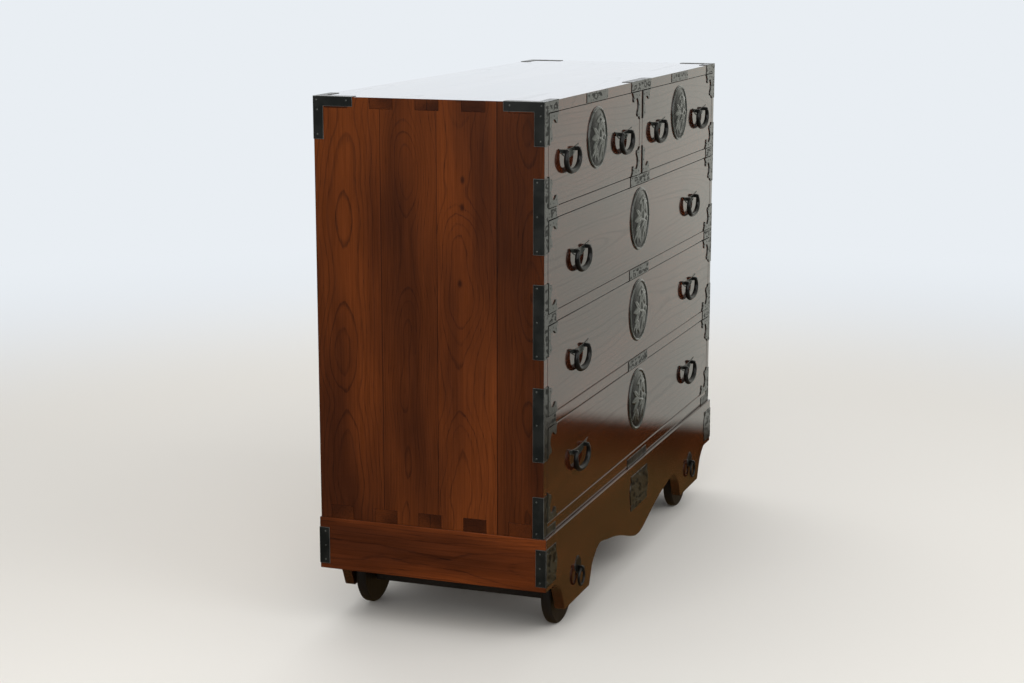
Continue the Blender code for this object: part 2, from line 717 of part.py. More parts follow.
def ring_mount_mesh():
    """A small plate with one pierced post, about the ring's hinge line."""
    back_y = RING_STANDOFF - SEAT_GAP
    front_y = back_y - HANDLE_PLATE_THICKNESS
    outline = ring_plate_outline()
    plate = prism_mesh("plate", [(x, front_y, z) for x, z in outline], [(x, back_y, z) for x, z in outline])
    reach = front_y + HANDLE_PLATE_THICKNESS / 2
    post = pierced_post("post", reach, RING_BORE_RADIUS, RING_POST_WIDTH)
    return combined_mesh("ring_mount", plate, [("UNION", post)])


def ring_mesh():
    """A plain ring that hangs from the origin, where its rod passes through the post."""
    radius = RING_DIAMETER / 2
    turns = [index * math.tau / RING_SEGMENTS for index in range(RING_SEGMENTS)]
    route = [(radius * math.sin(turn), radius * math.cos(turn) - radius) for turn in turns]
    return rod_mesh("ring", route, [RING_ROD_DIAMETER / 2] * RING_SEGMENTS, hoop=True)


def build_ring_pulls():
    mount = ring_mount_mesh()
    ring = ring_mesh()
    for side_name, side in (("left", -1), ("right", 1)):
        hinge = (side * RING_X, PLINTH_FRONT_Y - RING_STANDOFF, BASE_Z - RING_BELOW_CASE)
        place("ring_mount_" + side_name, mount, BLACK_IRON, hinge)
        place("ring_" + side_name, ring, BLACK_IRON, hinge, smooth=True)


build_case()
build_drawers()
build_plinth()
build_running_gear()
build_ring_pulls()
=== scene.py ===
# %% [markdown]
# # A wheeled chest of drawers, dressed
#
# The real chest is zelkova wood under a deep lacquer, bound in thin black iron, and it rolls on four
# solid wooden wheels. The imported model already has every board, handle and wheel in its place. This
# lesson gives each one its finish, and adds the fine ironwork that a solid model leaves out.

# %% Load the fixed frame
import math

import bmesh
import bpy
import numpy as np
from mathutils import Matrix, Vector


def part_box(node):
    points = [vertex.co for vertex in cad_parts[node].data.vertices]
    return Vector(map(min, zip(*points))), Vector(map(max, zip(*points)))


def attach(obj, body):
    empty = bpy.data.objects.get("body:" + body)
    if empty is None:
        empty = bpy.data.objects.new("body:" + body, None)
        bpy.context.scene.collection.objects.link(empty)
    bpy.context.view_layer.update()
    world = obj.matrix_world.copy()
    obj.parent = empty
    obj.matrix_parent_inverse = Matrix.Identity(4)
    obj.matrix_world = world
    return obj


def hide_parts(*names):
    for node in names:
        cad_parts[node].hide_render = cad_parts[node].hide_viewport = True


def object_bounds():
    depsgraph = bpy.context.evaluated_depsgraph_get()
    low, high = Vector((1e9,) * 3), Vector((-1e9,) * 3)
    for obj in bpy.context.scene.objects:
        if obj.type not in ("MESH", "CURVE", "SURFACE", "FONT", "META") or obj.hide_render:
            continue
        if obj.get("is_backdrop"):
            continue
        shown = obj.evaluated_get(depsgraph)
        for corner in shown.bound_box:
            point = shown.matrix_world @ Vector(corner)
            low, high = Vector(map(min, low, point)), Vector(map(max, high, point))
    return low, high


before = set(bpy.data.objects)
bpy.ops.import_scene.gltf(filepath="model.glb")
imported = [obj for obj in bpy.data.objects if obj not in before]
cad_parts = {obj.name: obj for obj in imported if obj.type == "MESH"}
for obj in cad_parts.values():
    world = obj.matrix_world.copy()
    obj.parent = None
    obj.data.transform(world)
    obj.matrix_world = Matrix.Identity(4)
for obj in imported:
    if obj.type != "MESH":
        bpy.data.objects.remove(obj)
CAD_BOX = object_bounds()

# %% [markdown]
# Every later piece is placed from the boards that carry it, so the places of the boards are read once,
# here. All lengths are in metres, X runs along the front, Y goes to the back and Z goes up.

# %% Read the places of the case
SIDE_LOW, SIDE_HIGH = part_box("side_panel_left")
PLINTH_LOW, PLINTH_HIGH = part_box("plinth_apron_front")
FRONT_Y, BACK_Y = SIDE_LOW.y, SIDE_HIGH.y
HALF_LENGTH = -SIDE_LOW.x
INNER_X = -SIDE_HIGH.x
BASE_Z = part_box("bottom_board")[0].z
TOP_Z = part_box("top_board")[1].z
TOP_UNDER_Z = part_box("drawer_divider")[1].z
PLINTH_FRONT_Y = PLINTH_LOW.y
PLINTH_HALF = PLINTH_HIGH.x
DRAWERS = ("top_left", "top_right", "upper", "middle", "lower")
X_WAY, Y_WAY, Z_WAY = Vector((1, 0, 0)), Vector((0, 1, 0)), Vector((0, 0, 1))
print("case", round(2 * HALF_LENGTH, 4), "long,", round(BACK_Y - FRONT_Y, 4), "deep, top at", round(TOP_Z, 4))

# %% [markdown]
# The camera stands at the left, a little above the chest, and sees the left side almost square on and
# the front at a grazing angle. Its place and its three directions were worked out from the edges of the
# case, so they are written as plain numbers.

# %% Place the camera
CAMERA_PLACE = Vector((-3.90345, -1.348125, 1.295778))
CAMERA_RIGHT = Vector((0.34024, -0.94034, 0.0))
CAMERA_UP = Vector((0.18631, 0.06741, 0.98018))
CAMERA_AHEAD = Vector((0.92170, 0.33350, -0.19813))
camera_data = bpy.data.cameras.new("camera")
camera_data.lens = 69.2
camera_data.sensor_width = 36.0
camera = bpy.data.objects.new("camera", camera_data)
camera.matrix_world = Matrix((CAMERA_RIGHT, CAMERA_UP, -CAMERA_AHEAD)).transposed().to_4x4()
camera.location = CAMERA_PLACE
bpy.context.scene.collection.objects.link(camera)
bpy.context.scene.camera = camera
bpy.context.scene.view_settings.view_transform = "Standard"
print("the camera stands", round((CAMERA_PLACE - Vector((0, 0, 0.5))).length, 2), "m from the chest")

# %% [markdown]
# Materials here are made of nodes. A few small helpers keep the node code short. They fill or link a
# node's inputs, do arithmetic, mix colours and make noise, all in the tree that the given sockets belong
# to. The last one turns a colour as it is seen on a screen into the light values that shaders work with.

# %% Helpers for nodes


def connect(node, values):
    """Fills a node's inputs. A value that is a socket is linked to the input, and any other value is set."""
    for key, value in values.items():
        if isinstance(value, bpy.types.NodeSocket):
            node.id_data.links.new(value, node.inputs[key])
        else:
            node.inputs[key].default_value = value


def add(tree, kind, values=None, **settings):
    """Adds a node with its settings, and fills its inputs."""
    node = tree.nodes.new(kind)
    for key, setting in settings.items():
        setattr(node, key, setting)
    connect(node, values or {})
    return node


def tree_of(*values):
    """The node tree of the first socket among some sockets and numbers."""
    return next(value.id_data for value in values if isinstance(value, bpy.types.NodeSocket))


def maths(operation, *values):
    return add(tree_of(*values), "ShaderNodeMath", dict(enumerate(values)), operation=operation).outputs[0]


def plus(first, second):
    return maths("ADD", first, second)


def minus(first, second):
    return maths("SUBTRACT", first, second)


def times(first, second):
    return maths("MULTIPLY", first, second)


def smooth_step(value, start, end, low=0.0, high=1.0):
    """A soft change from low to high while the value goes from start to end."""
    values = {0: value, 1: start, 2: end, 3: low, 4: high}
    return add(value.id_data, "ShaderNodeMapRange", values, interpolation_type="SMOOTHSTEP").outputs[0]


def mixed(share, first, second, how="MIX"):
    tree = tree_of(share, first, second)
    values = {0: share, 6: first, 7: second}
    return add(tree, "ShaderNodeMix", values, data_type="RGBA", blend_type=how).outputs[2]


def vector_maths(operation, place, values):
    return add(place.id_data, "ShaderNodeVectorMath", {0: place, **values}, operation=operation).outputs


def parts_of(place):
    """The three numbers of a place or a direction."""
    return add(place.id_data, "ShaderNodeSeparateXYZ", {0: place}).outputs


def combined(x, y, z=0.0):
    """A place made of three numbers."""
    return add(tree_of(x, y, z), "ShaderNodeCombineXYZ", {0: x, 1: y, 2: z}).outputs[0]


def bumped(height, strength, distance):
    """The surface direction of a shallow relief."""
    values = {"Height": height, "Strength": strength, "Distance": distance}
    return add(height.id_data, "ShaderNodeBump", values).outputs[0]


def noise(place, detail=2.0, roughness=0.5, stretch=None, scale=1.0):
    """Noise in space. A stretch sets its waves per metre along each axis."""
    if stretch:
        place = vector_maths("MULTIPLY", place, {1: stretch})[0]
    values = {"Vector": place, "Scale": scale, "Detail": detail, "Roughness": roughness}
    return add(place.id_data, "ShaderNodeTexNoise", values).outputs


def seen(red, green, blue):
    """A screen colour, each part from 0 to 255, as shader light values."""
    parts = [part / 255 for part in (red, green, blue)]
    return (*[((part + 0.055) / 1.055) ** 2.4 if part > 0.04 else part / 12.92 for part in parts], 1.0)


def new_group(name, inputs, outputs):
    """An empty node group, its inputs inside and its end node. A default of None makes a place input."""
    group = bpy.data.node_groups.new(name, "ShaderNodeTree")
    for label, default in inputs.items():
        kind = "NodeSocketVector" if default is None else "NodeSocketFloat"
        socket = group.interface.new_socket(label, in_out="INPUT", socket_type=kind)
        if default is not None:
            socket.default_value = default
    for label in outputs:
        group.interface.new_socket(label, in_out="OUTPUT", socket_type="NodeSocketFloat")
    return group, group.nodes.new("NodeGroupInput").outputs, group.nodes.new("NodeGroupOutput")


print("node helpers ready")

# %% [markdown]
# Wood figure comes from growth rings. A tree is a stack of cones, and a plank is a flat cut through
# them: cut beside the heart the rings show as nested arches, and cut across them they show as straight
# lines. So the group below measures how far each point is from a wandering heart line, and turns that
# distance into rings. The more turns the heart line takes per metre, the more often an arch closes to
# an eye. The same group gives the fine fibre and the short open pores of zelkova.

# %% Build the group for zelkova figure
figure, given, result = new_group(
    "Zelkova figure",
    {
        "Place": None,
        "Heart across": 0.0,
        "Heart depth": 0.05,
        "Ring width": 0.008,
        "Wander": 0.03,
        "Rise": 0.12,
        "Taper": 0.04,
        "Turns": 1.7,
    },
    ("Rings", "Fibre", "Pores", "Cloud"),
)
place = given["Place"]
across, deep, along = parts_of(place)
OTHER_PLANK = 37.0
WOBBLE = 0.009
UNEVEN = 1.3
plank_place = times(given["Heart across"], OTHER_PLANK)
heart_place = combined(plank_place, given["Heart depth"], times(along, given["Turns"]))
slow = noise(heart_place, 1.2, 0.4, (1, 40, 1))
sway = add(figure, "ShaderNodeSeparateColor", {0: slow["Color"]}).outputs
side_sway = times(minus(sway[0], 0.5), given["Wander"])
depth_sway = times(minus(sway[1], 0.5), given["Rise"])
off_heart = minus(minus(across, given["Heart across"]), side_sway)
below = plus(plus(deep, given["Heart depth"]), depth_sway)
below = maths("MULTIPLY_ADD", along, given["Taper"], below)
squares = plus(times(off_heart, off_heart), times(below, below))
wobble = noise(place, 4.0, 0.55, (22, 22, 5.0))[0]
radius = plus(maths("SQRT", squares), times(wobble, WOBBLE))
uneven_values = {"W": radius, "Scale": 60.0, "Detail": 1.0}
uneven = add(figure, "ShaderNodeTexNoise", uneven_values, noise_dimensions="1D").outputs[0]
years = plus(maths("DIVIDE", radius, given["Ring width"]), times(uneven, UNEVEN))
year = maths("FLOOR", years)
season = maths("FRACT", years)
strength = add(figure, "ShaderNodeTexWhiteNoise", {"W": year}, noise_dimensions="1D").outputs[0]
late = times(smooth_step(season, 0.64, 0.90), smooth_step(season, 0.90, 1.0, 1.0, 0.0))
rings = times(late, smooth_step(strength, 0.1, 1.0, 0.15, 1.0))
dashes = noise(place, 1.0, 0.5, (760, 760, 26))[0]
pores = times(smooth_step(dashes, 0.58, 0.70), plus(0.35, rings))
fibre = noise(place, 4.0, 0.62, (330, 330, 7))[0]
cloud = noise(place, 3.0, 0.5, (9, 9, 1.6))[0]
connect(result, {"Rings": rings, "Fibre": fibre, "Pores": pores, "Cloud": cloud})
print("zelkova figure:", len(figure.nodes), "nodes")

# %% [markdown]
# Iron that was forged, blackened and oiled isn't flat: it has a faint hammered wave, fine pits and
# patches where the black is thinner. One group makes that skin for all the ironwork, and a second one
# makes the small engraved scrolls that the flat plates on the front carry.

# %% Build the groups for forged iron
inputs = {"Place": None, "Hammer": 60.0, "Pit size": 700.0}
skin, given, result = new_group("Forged skin", inputs, ("Height", "Patches"))
hammer_place = vector_maths("SCALE", given["Place"], {"Scale": given["Hammer"]})[0]
hammered = noise(hammer_place, 3.0)[0]
pitted = noise(given["Place"], 2.0, scale=given["Pit size"])[0]
patch = noise(hammer_place, 4.0, 0.6, scale=0.45)[0]
height = plus(times(hammered, 0.75), times(pitted, 0.25))
connect(result, {"Height": height, "Patches": smooth_step(patch, 0.38, 0.64)})
print("forged skin:", len(skin.nodes), "nodes")

engraving, given, result = new_group("Engraved scrolls", {"Place": None, "Curl size": 0.024}, ("Cut",))
per_metre = maths("DIVIDE", 1.0, given["Curl size"])
flattened = vector_maths("MULTIPLY", given["Place"], {1: (1, 1, 1.9)})[0]
curl_place = vector_maths("SCALE", flattened, {"Scale": per_metre})[0]
cell_values = {"Vector": curl_place, "Scale": 1.0, "Randomness": 0.45}
cells = add(engraving, "ShaderNodeTexVoronoi", cell_values, feature="F1").outputs
bent = noise(curl_place, 1.0, scale=1.6)[0]
wave = maths("SINE", plus(times(cells["Distance"], 9.5), times(bent, 9.0)))
connect(result, {"Cut": smooth_step(wave, 0.05, 0.5)})
print("engraved scrolls:", len(engraving.nodes), "nodes")

# %% [markdown]
# A board's grain can run along any axis, so the wood material is a function. It is told which axis the
# board's width, depth and grain follow, and it is given a list of planks: where each one starts across
# the width, how light it is, where its heart lies, how deep, and how wide its rings are. A coloured
# ramp with sharp steps hands these four numbers to the shader. Over the stained wood lies a clear coat,
# which is the lacquer, and it sinks a little into the rings of the polished boards.

# %% Make the wood material
EXTENTS = {"X": (-HALF_LENGTH, HALF_LENGTH), "Y": (FRONT_Y, BACK_Y), "Z": (BASE_Z, TOP_Z)}
DEEPEST_HEART = 0.4
WIDEST_RING = 0.02
RING_DARKNESS = 0.34
KNOT_STRETCH = 0.6


def new_material(name):
    """A new material, its tree and the shader that it starts with."""
    material = bpy.data.materials.new(name)
    material.use_nodes = True
    return material, material.node_tree, material.node_tree.nodes["Principled BSDF"]


def zelkova(name, grain, planks, stains, gloss, span=None, faces=None, joint=0.0007, knots=(), **sway):
    """Stained wood under its finish. The grain gives the axes of width, depth and length, as letters.

    The span and the faces are where the board starts and ends across its width and its depth. The case's
    own extents stand in for them when none are given. The sway goes to the figure group.
    """
    material, tree, shader = new_material(name)
    coords = add(tree, "ShaderNodeTexCoord").outputs
    axes = parts_of(coords["Object"])
    across, level, along = [axes["XYZ".index(letter)] for letter in grain]
    low, high = span or EXTENTS[grain[0]]
    near, far = faces or EXTENTS[grain[1]]
    depth = minus((far - near) / 2, maths("ABSOLUTE", minus(level, (near + far) / 2)))
    share = add(tree, "ShaderNodeMapRange", {0: across, 1: low, 2: high}).outputs[0]
    table = add(tree, "ShaderNodeValToRGB", {0: share})
    table.color_ramp.interpolation = "CONSTANT"
    stops = table.color_ramp.elements
    stops.remove(stops[1])
    for index, (from_share, tone, heart, heart_depth, ring) in enumerate(planks):
        stop = stops[0] if index == 0 else stops.new(from_share)
        stop.color = (tone, heart, heart_depth / DEEPEST_HEART, ring / WIDEST_RING)
    plank = add(tree, "ShaderNodeSeparateColor", {0: table.outputs[0]}).outputs
    ring_width = times(table.outputs[1], WIDEST_RING)
    values = {
        "Place": combined(across, depth, along),
        "Heart across": maths("MULTIPLY_ADD", plank[1], high - low, low),
        "Heart depth": times(plank[2], DEEPEST_HEART),
        "Ring width": ring_width,
        **sway,
    }
    marks = add(tree, "ShaderNodeGroup", values, node_tree=figure).outputs
    lines = times(across, 0.0)
    for from_share, *_ in planks[1:]:
        lines = plus(lines, maths("COMPARE", across, low + from_share * (high - low), joint))
    end_grain = maths("ABSOLUTE", parts_of(coords["Normal"])["XYZ".index(grain[2])])
    stain = mixed(smooth_step(marks["Cloud"], 0.33, 0.67, 0.0, 0.9), *stains)
    ring_stain = (*[RING_DARKNESS * part for part in stains[1][:3]], 1)
    ring_share = times(marks["Rings"], smooth_step(ring_width, 0.004, 0.010, 0.40, 0.56))
    stain = mixed(ring_share, stain, ring_stain)
    tone = times(plank[0], smooth_step(marks["Fibre"], 0.3, 0.7, 0.80, 1.12))
    for knot_across, knot_along in knots:
        here = combined(across, times(along, KNOT_STRETCH))
        far_off = vector_maths("DISTANCE", here, {1: (knot_across, knot_along * KNOT_STRETCH, 0.0)})["Value"]
        tone = times(tone, smooth_step(far_off, 0.0012, 0.0065, 0.35, 1.0))
    for share, darkest in ((smooth_step(end_grain, 0.6, 0.8), 0.74), (marks["Pores"], 0.45), (lines, 0.35)):
        tone = times(tone, smooth_step(share, 0.0, 1.0, 1.0, darkest))
    tone = add(tree, "ShaderNodeCombineColor", {0: tone, 1: tone, 2: tone}).outputs[0]
    relief = minus(minus(times(marks["Fibre"], 0.5), marks["Pores"]), lines)
    relief = maths("MULTIPLY_ADD", marks["Rings"], gloss["ridge"], relief)
    rough = smooth_step(marks["Fibre"], 0.2, 0.8, gloss["rough"] * 0.8, gloss["rough"] * 1.25)
    looks = {
        "Base Color": mixed(1.0, stain, tone, "MULTIPLY"),
        "Roughness": rough,
        "Normal": bumped(relief, gloss["bump"], 0.0003),
        "Specular IOR Level": gloss["shine"],
        "Coat Weight": gloss["coat"],
        "Coat Roughness": gloss["coat_rough"],
    }
    if gloss["coat"]:
        film = times(noise(coords["Object"], stretch=(14, 14, 14))[0], 4.0)
        looks["Coat Normal"] = bumped(film, 0.06, 0.001)
    if gloss["ridge"]:
        looks["Coat Weight"] = smooth_step(marks["Rings"], 0.0, 0.7, gloss["coat"], gloss["coat"] * 0.84)
    connect(shader, looks)
    return material


STAINS = (seen(99, 46, 10), seen(56, 23, 5))
SATIN = {"rough": 0.36, "bump": 0.22, "ridge": 0.0, "coat": 0.03, "coat_rough": 0.16, "shine": 0.12}
MIRROR = {"rough": 0.12, "bump": 0.015, "ridge": 9.0, "coat": 1.0, "coat_rough": 0.03, "shine": 0.5}
side_planks = [
    (0.0, 0.58, 0.06, 0.016, 0.0056),
    (0.2, 0.92, 0.36, 0.050, 0.0046),
    (0.46, 0.76, 0.60, 0.012, 0.0050),
    (0.707, 0.87, 0.870, 0.018, 0.0076),
]
side_knots = ((-0.061, 0.878), (-0.060, 0.828), (-0.055, 0.688))
side_figure = {"Wander": 0.03, "Rise": 0.075, "Taper": 0.02, "Turns": 5.0}
side_wood = zelkova("upright_zelkova", "YXZ", side_planks, STAINS, SATIN, knots=side_knots, **side_figure)
print("made", side_wood.name)

# %% [markdown]
# The fronts and the top have their grain lying along the chest. They carry the same lacquer, polished
# until it mirrors what is around it, so the shine is set higher there. Each drawer front is one wide
# board, and the rail edges between them are narrow boards of their own. The end grain of the fingers
# and the plinth's side boards are satin, like the sides.

# %% Make the lengthwise woods
row_edges = sorted({round(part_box("drawer_front_" + name)[side].z, 5) for name in DRAWERS for side in (0, 1)})
front_span = (BASE_Z - 0.11, TOP_Z)
front_depths = (0.035, 0.10, 0.05, 0.12, 0.03, 0.10, 0.045, 0.12)
front_planks = [(0.0, 0.90, 0.30, 0.05, 0.009)]
for index, edge in enumerate(row_edges):
    spans = [z - front_span[0] for z in (edge, edge + 0.085)]
    edge_share, arch_share = [span / (front_span[1] - front_span[0]) for span in spans]
    is_drawer = index % 2 == 0
    heart = min(arch_share if is_drawer else edge_share + 0.3, 0.99)
    tone = 0.86 + 0.035 * (index % 4)
    front_planks.append((edge_share, tone, heart, front_depths[index], 0.0084 if is_drawer else 0.0058))
front_stains = (seen(73, 33, 14), seen(47, 20, 9))
front_wood = zelkova(
    "lengthwise_zelkova", "ZYX", front_planks, front_stains, MIRROR, front_span, Wander=0.03, Rise=0.08
)
top_planks = [(0.0, 0.95, 0.15, 0.04, 0.009), (0.36, 0.88, 0.60, 0.03, 0.010), (0.7, 1.0, 0.95, 0.08, 0.007)]
top_wood = zelkova("top_zelkova", "YZX", top_planks, STAINS, MIRROR, Wander=0.03, Rise=0.08)
finger_planks = [(0.0, 0.86, 0.3, 0.06, 0.004), (0.5, 0.92, 0.7, 0.05, 0.004)]
finger_wood = zelkova("finger_end_zelkova", "YZX", finger_planks, STAINS, SATIN, Wander=0.02, Rise=0.02)
plinth_side_wood = zelkova(
    "plinth_side_zelkova",
    "ZXY",
    [(0.0, 1.0, 0.62, 0.05, 0.0048)],
    (seen(112, 52, 14), STAINS[1]),
    SATIN,
    (BASE_Z - 0.17, BASE_Z),
    (-PLINTH_HALF, PLINTH_HALF),
    Wander=0.02,
    Rise=0.04,
)
print("made", front_wood.name, top_wood.name, finger_wood.name, plinth_side_wood.name)

# %% [markdown]
# Drawer trays, the back and the axle bearers are paulownia, a pale, light wood that is left unlacquered.
# It uses the same figure group with pale colours and no coat. The wheels and axles are stained almost
# black.

# %% Make the plain woods
BARE = {"rough": 0.62, "bump": 0.4, "ridge": 0.0, "coat": 0.0, "coat_rough": 0.3, "shine": 0.3}
WAXED = {"rough": 0.5, "bump": 0.5, "ridge": 0.0, "coat": 0.15, "coat_rough": 0.35, "shine": 0.3}
tray_planks = [(0.0, 0.97, 0.35, 0.08, 0.006), (0.52, 1.0, 0.85, 0.09, 0.006)]
tray_stains = (seen(205, 178, 138), seen(176, 143, 102))
tray_wood = zelkova(
    "plain_paulownia_lengthwise", "ZYX", tray_planks, tray_stains, BARE, Wander=0.02, Rise=0.05
)
back_planks = [
    (0.0, 0.94, 0.08, 0.05, 0.007),
    (0.17, 1.0, 0.25, 0.09, 0.006),
    (0.34, 0.93, 0.42, 0.04, 0.007),
    (0.5, 0.98, 0.6, 0.10, 0.006),
    (0.67, 0.92, 0.75, 0.05, 0.008),
    (0.84, 1.0, 0.92, 0.07, 0.006),
]
back_stains = (seen(196, 164, 122), seen(160, 124, 84))
back_wood = zelkova(
    "plain_paulownia_upright", "XYZ", back_planks, back_stains, BARE, joint=0.0011, Wander=0.03, Rise=0.07
)
wheel_planks = [(0.0, 1.0, 0.17, 0.03, 0.006), (0.5, 1.0, 0.83, 0.03, 0.006)]
wheel_stains = (seen(36, 30, 25), seen(20, 17, 15))
wheel_wood = zelkova("dark_wheel_oak", "XYZ", wheel_planks, wheel_stains, WAXED, Wander=0.02, Rise=0.03)
print("made", tray_wood.name, back_wood.name, wheel_wood.name)

# %% [markdown]
# The plates round the corners are black and satin, and their edges are a lighter grey, partly rubbed wear
# and partly a painted highlight where light catches them. The plates on the front are oiled, most of them
# engraved, and dark at their edges; their colour is lighter than the corner plates, a painted sheen. Nail
# heads are lighter on both, a painted highlight. Each edge face is made by the bevel that softens it, and
# takes its own material, so the wear and the painted highlight sit exactly where hands rub.

# %% Make the iron materials


def iron(name, flat, thin, rough, metal=0.0, cut=0.0, relief="", oil=0.0, shine=0.5):
    """Blackened iron. The flat colour turns to the thin one in patches, and in raised places of a relief."""
    material, tree, shader = new_material(name)
    place = add(tree, "ShaderNodeTexCoord").outputs["Object"]
    forged = add(tree, "ShaderNodeGroup", {"Place": place}, node_tree=skin).outputs
    colour = mixed(times(forged["Patches"], 0.5), flat, thin)
    height = times(forged["Height"], 0.5)
    if cut:
        scrolls = add(tree, "ShaderNodeGroup", {"Place": place}, node_tree=engraving).outputs["Cut"]
        colour = mixed(times(scrolls, 0.8), colour, seen(8, 8, 8))
        height = minus(height, times(scrolls, cut))
        oil = smooth_step(scrolls, 0.0, 1.0, oil, 0.0)
    if relief:
        raised = add(tree, "ShaderNodeAttribute", attribute_name=relief).outputs["Fac"]
        colour = mixed(smooth_step(raised, 0.35, 0.95), colour, thin)
        # Where the relief tone is low the colour goes black: in the hollows, and on the lock plates also as a
        # painted shadow over the lower left and a painted shade in the keyhole.
        colour = mixed(smooth_step(raised, 0.05, 0.4, 1.0, 0.0), colour, seen(8, 8, 8))
        oil = smooth_step(raised, 0.05, 0.5, 0.0, oil)
    looks = {
        "Base Color": colour,
        "Roughness": smooth_step(forged["Patches"], 0.0, 1.0, rough * 0.85, rough * 1.2),
        "Metallic": metal,
        "Specular IOR Level": shine,
        "Coat Weight": oil,
        "Coat Roughness": 0.22,
        "Normal": bumped(height, 0.35, 0.0004),
    }
    connect(shader, looks)
    return material


# The front plates are lighter than the corner plates: the iron's black with a painted sheen.
FRONT_PLATE_COLOURS_PAINTED_SHEEN = (seen(30, 33, 30), seen(52, 56, 50))
black_iron = iron("black_iron_plate", seen(18, 20, 18), seen(32, 33, 30), 0.38, shine=0.22)
# Edge colour: a lighter grey, partly rubbed wear and partly a painted highlight where light catches the edge.
worn_edge_painted_highlight_iron = iron("iron_edge_wear_and_painted_highlight", seen(76, 77, 74), seen(102, 102, 98), 0.36, 0.3)
# Nail heads are lighter than the plates: a painted highlight on their domes.
nail_painted_highlight_iron = iron("nail_head_painted_highlight", seen(58, 60, 56), seen(84, 86, 80), 0.28, 0.3)
engraved_iron = iron("engraved_iron_plate", *FRONT_PLATE_COLOURS_PAINTED_SHEEN, 0.34, cut=0.9, oil=1.0, shine=0.12)
oiled_iron = iron("oiled_iron_plate", *FRONT_PLATE_COLOURS_PAINTED_SHEEN, 0.34, oil=1.0, shine=0.12)
relief_iron = iron(
    "relief_iron", seen(26, 29, 26), seen(62, 66, 60), 0.30, 0.1, relief="raised", oil=1.0, shine=0.12
)
bar_iron = iron("forged_bar_iron", seen(15, 15, 14), seen(28, 28, 26), 0.33, shine=0.3)
EDGE_SLOT, NAIL_SLOT, FOURTH_SLOT = 1, 2, 3
IRONS = [black_iron, worn_edge_painted_highlight_iron, nail_painted_highlight_iron]
FRONT_IRONS = [engraved_iron, bar_iron, nail_painted_highlight_iron, oiled_iron]
print("made", len(bpy.data.materials), "materials so far")

# %% [markdown]
# All new pieces are built in mesh code. These helpers cover the shapes that the chest needs: a skin over
# rows of points, a sheet cut to an outline with softened edges, a domed nail head, a rod along a curve,
# a turned solid and a board with eased edges. Several sheets share one mesh when they are plates of one
# kind on one body.

# %% Helpers for mesh pieces


def surface(origin, right, up, out):
    """Takes a point given along right, along up and out of a surface to its place."""
    where = Matrix((right, up, out)).transposed().to_4x4()
    where.translation = Vector(origin)
    return where


def on_front(x, y, z):
    return surface((x, y, z), X_WAY, Z_WAY, -Y_WAY)


def on_back(y):
    return surface((0, y, 0), X_WAY, Z_WAY, Y_WAY)


def on_side(side, x):
    """The side is -1 at the left end and 1 at the right end."""
    return surface((x, 0, 0), Y_WAY, Z_WAY, side * X_WAY)


def on_top(z):
    return surface((0, 0, z), X_WAY, Y_WAY, Z_WAY)


def from_corner(where, u, v, way_u, way_v):
    """A surface measured from one of its points, in the ways that lead away from it."""
    return where @ Matrix.Translation((u, v, 0)) @ Matrix.Diagonal((way_u, way_v, 1, 1))


def around(count):
    """Evenly spaced angles all the way round."""
    return [math.tau * step / count for step in range(count)]


def mirrored_line(points):
    """A line of points that starts and ends on the middle, and back by its mirror image."""
    return [*points, *[(-u, v) for u, v in reversed(points[1:-1])]]


def lofted(mesh, rows, hoop=False, slot=0):
    """A skin over rows of points, closed at both ends or joined end to end as a hoop.

    It returns the rows as vertices, the walls between rows, and the two end faces.
    """
    loops = [[mesh.verts.new(point) for point in row] for row in rows]
    walls = []
    for lower, upper in zip(loops, loops[1:] + loops[:1] if hoop else loops[1:]):
        corners = zip(lower, lower[1:] + lower[:1], upper[1:] + upper[:1], upper)
        walls.append([mesh.faces.new(quad) for quad in corners])
    ends = [] if hoop else [mesh.faces.new(loops[0][::-1]), mesh.faces.new(loops[-1])]
    faces = [*ends, *[face for wall in walls for face in wall]]
    for face in faces:
        face.material_index = slot
    bmesh.ops.recalc_face_normals(mesh, faces=faces)
    return loops, walls, ends


def bevelled(mesh, edges, offset, rounds, profile=0.5, **settings):
    """Rounds some edges off."""
    settings = {"segments": rounds, "profile": profile, "affect": "EDGES", **settings}
    bmesh.ops.bevel(mesh, geom=edges, offset=offset, **settings)


NAIL_ROWS = ((1.0, -0.2), (0.92, 0.35), (0.62, 0.8))


def nail(mesh, where, u, v, height, radius=0.0019, rise=0.0007):
    """A domed nail head on a plate."""
    rows = []
    for share, level in NAIL_ROWS:
        ring = [(radius * share * math.cos(turn), radius * share * math.sin(turn)) for turn in around(10)]
        rows.append([where @ Vector((u + a, v + b, height + rise * level)) for a, b in ring])
    *_, ends = lofted(mesh, rows, slot=NAIL_SLOT)
    crown = bmesh.ops.poke(mesh, faces=ends[1:])["verts"][0]
    crown.co = where @ Vector((u, v, height + rise))


def cut_sheet(mesh, outline, thick, where, edge=0.0004, field=None, nails=(), **nail_shape):
    """A nailed flat plate of the given outline, standing off a surface, with its outer edge rounded.

    A field is a smaller outline with as many points. Its border then takes the plate's fourth material.
    """
    levels = [(outline, 0.0), (outline, thick)] + ([(field, thick)] if field else [])
    rows = [[where @ Vector((u, v, level)) for u, v in line] for line, level in levels]
    loops, walls, _ = lofted(mesh, rows)
    for face in walls[-1] if field else ():
        face.material_index = FOURTH_SLOT
    rim = [mesh.edges.get((loops[1][index - 1], loops[1][index])) for index in range(len(outline))]
    bevelled(mesh, rim, edge, 2, 0.6, material=EDGE_SLOT, clamp_overlap=True)
    for u, v in nails:
        nail(mesh, where, u, v, thick, **nail_shape)


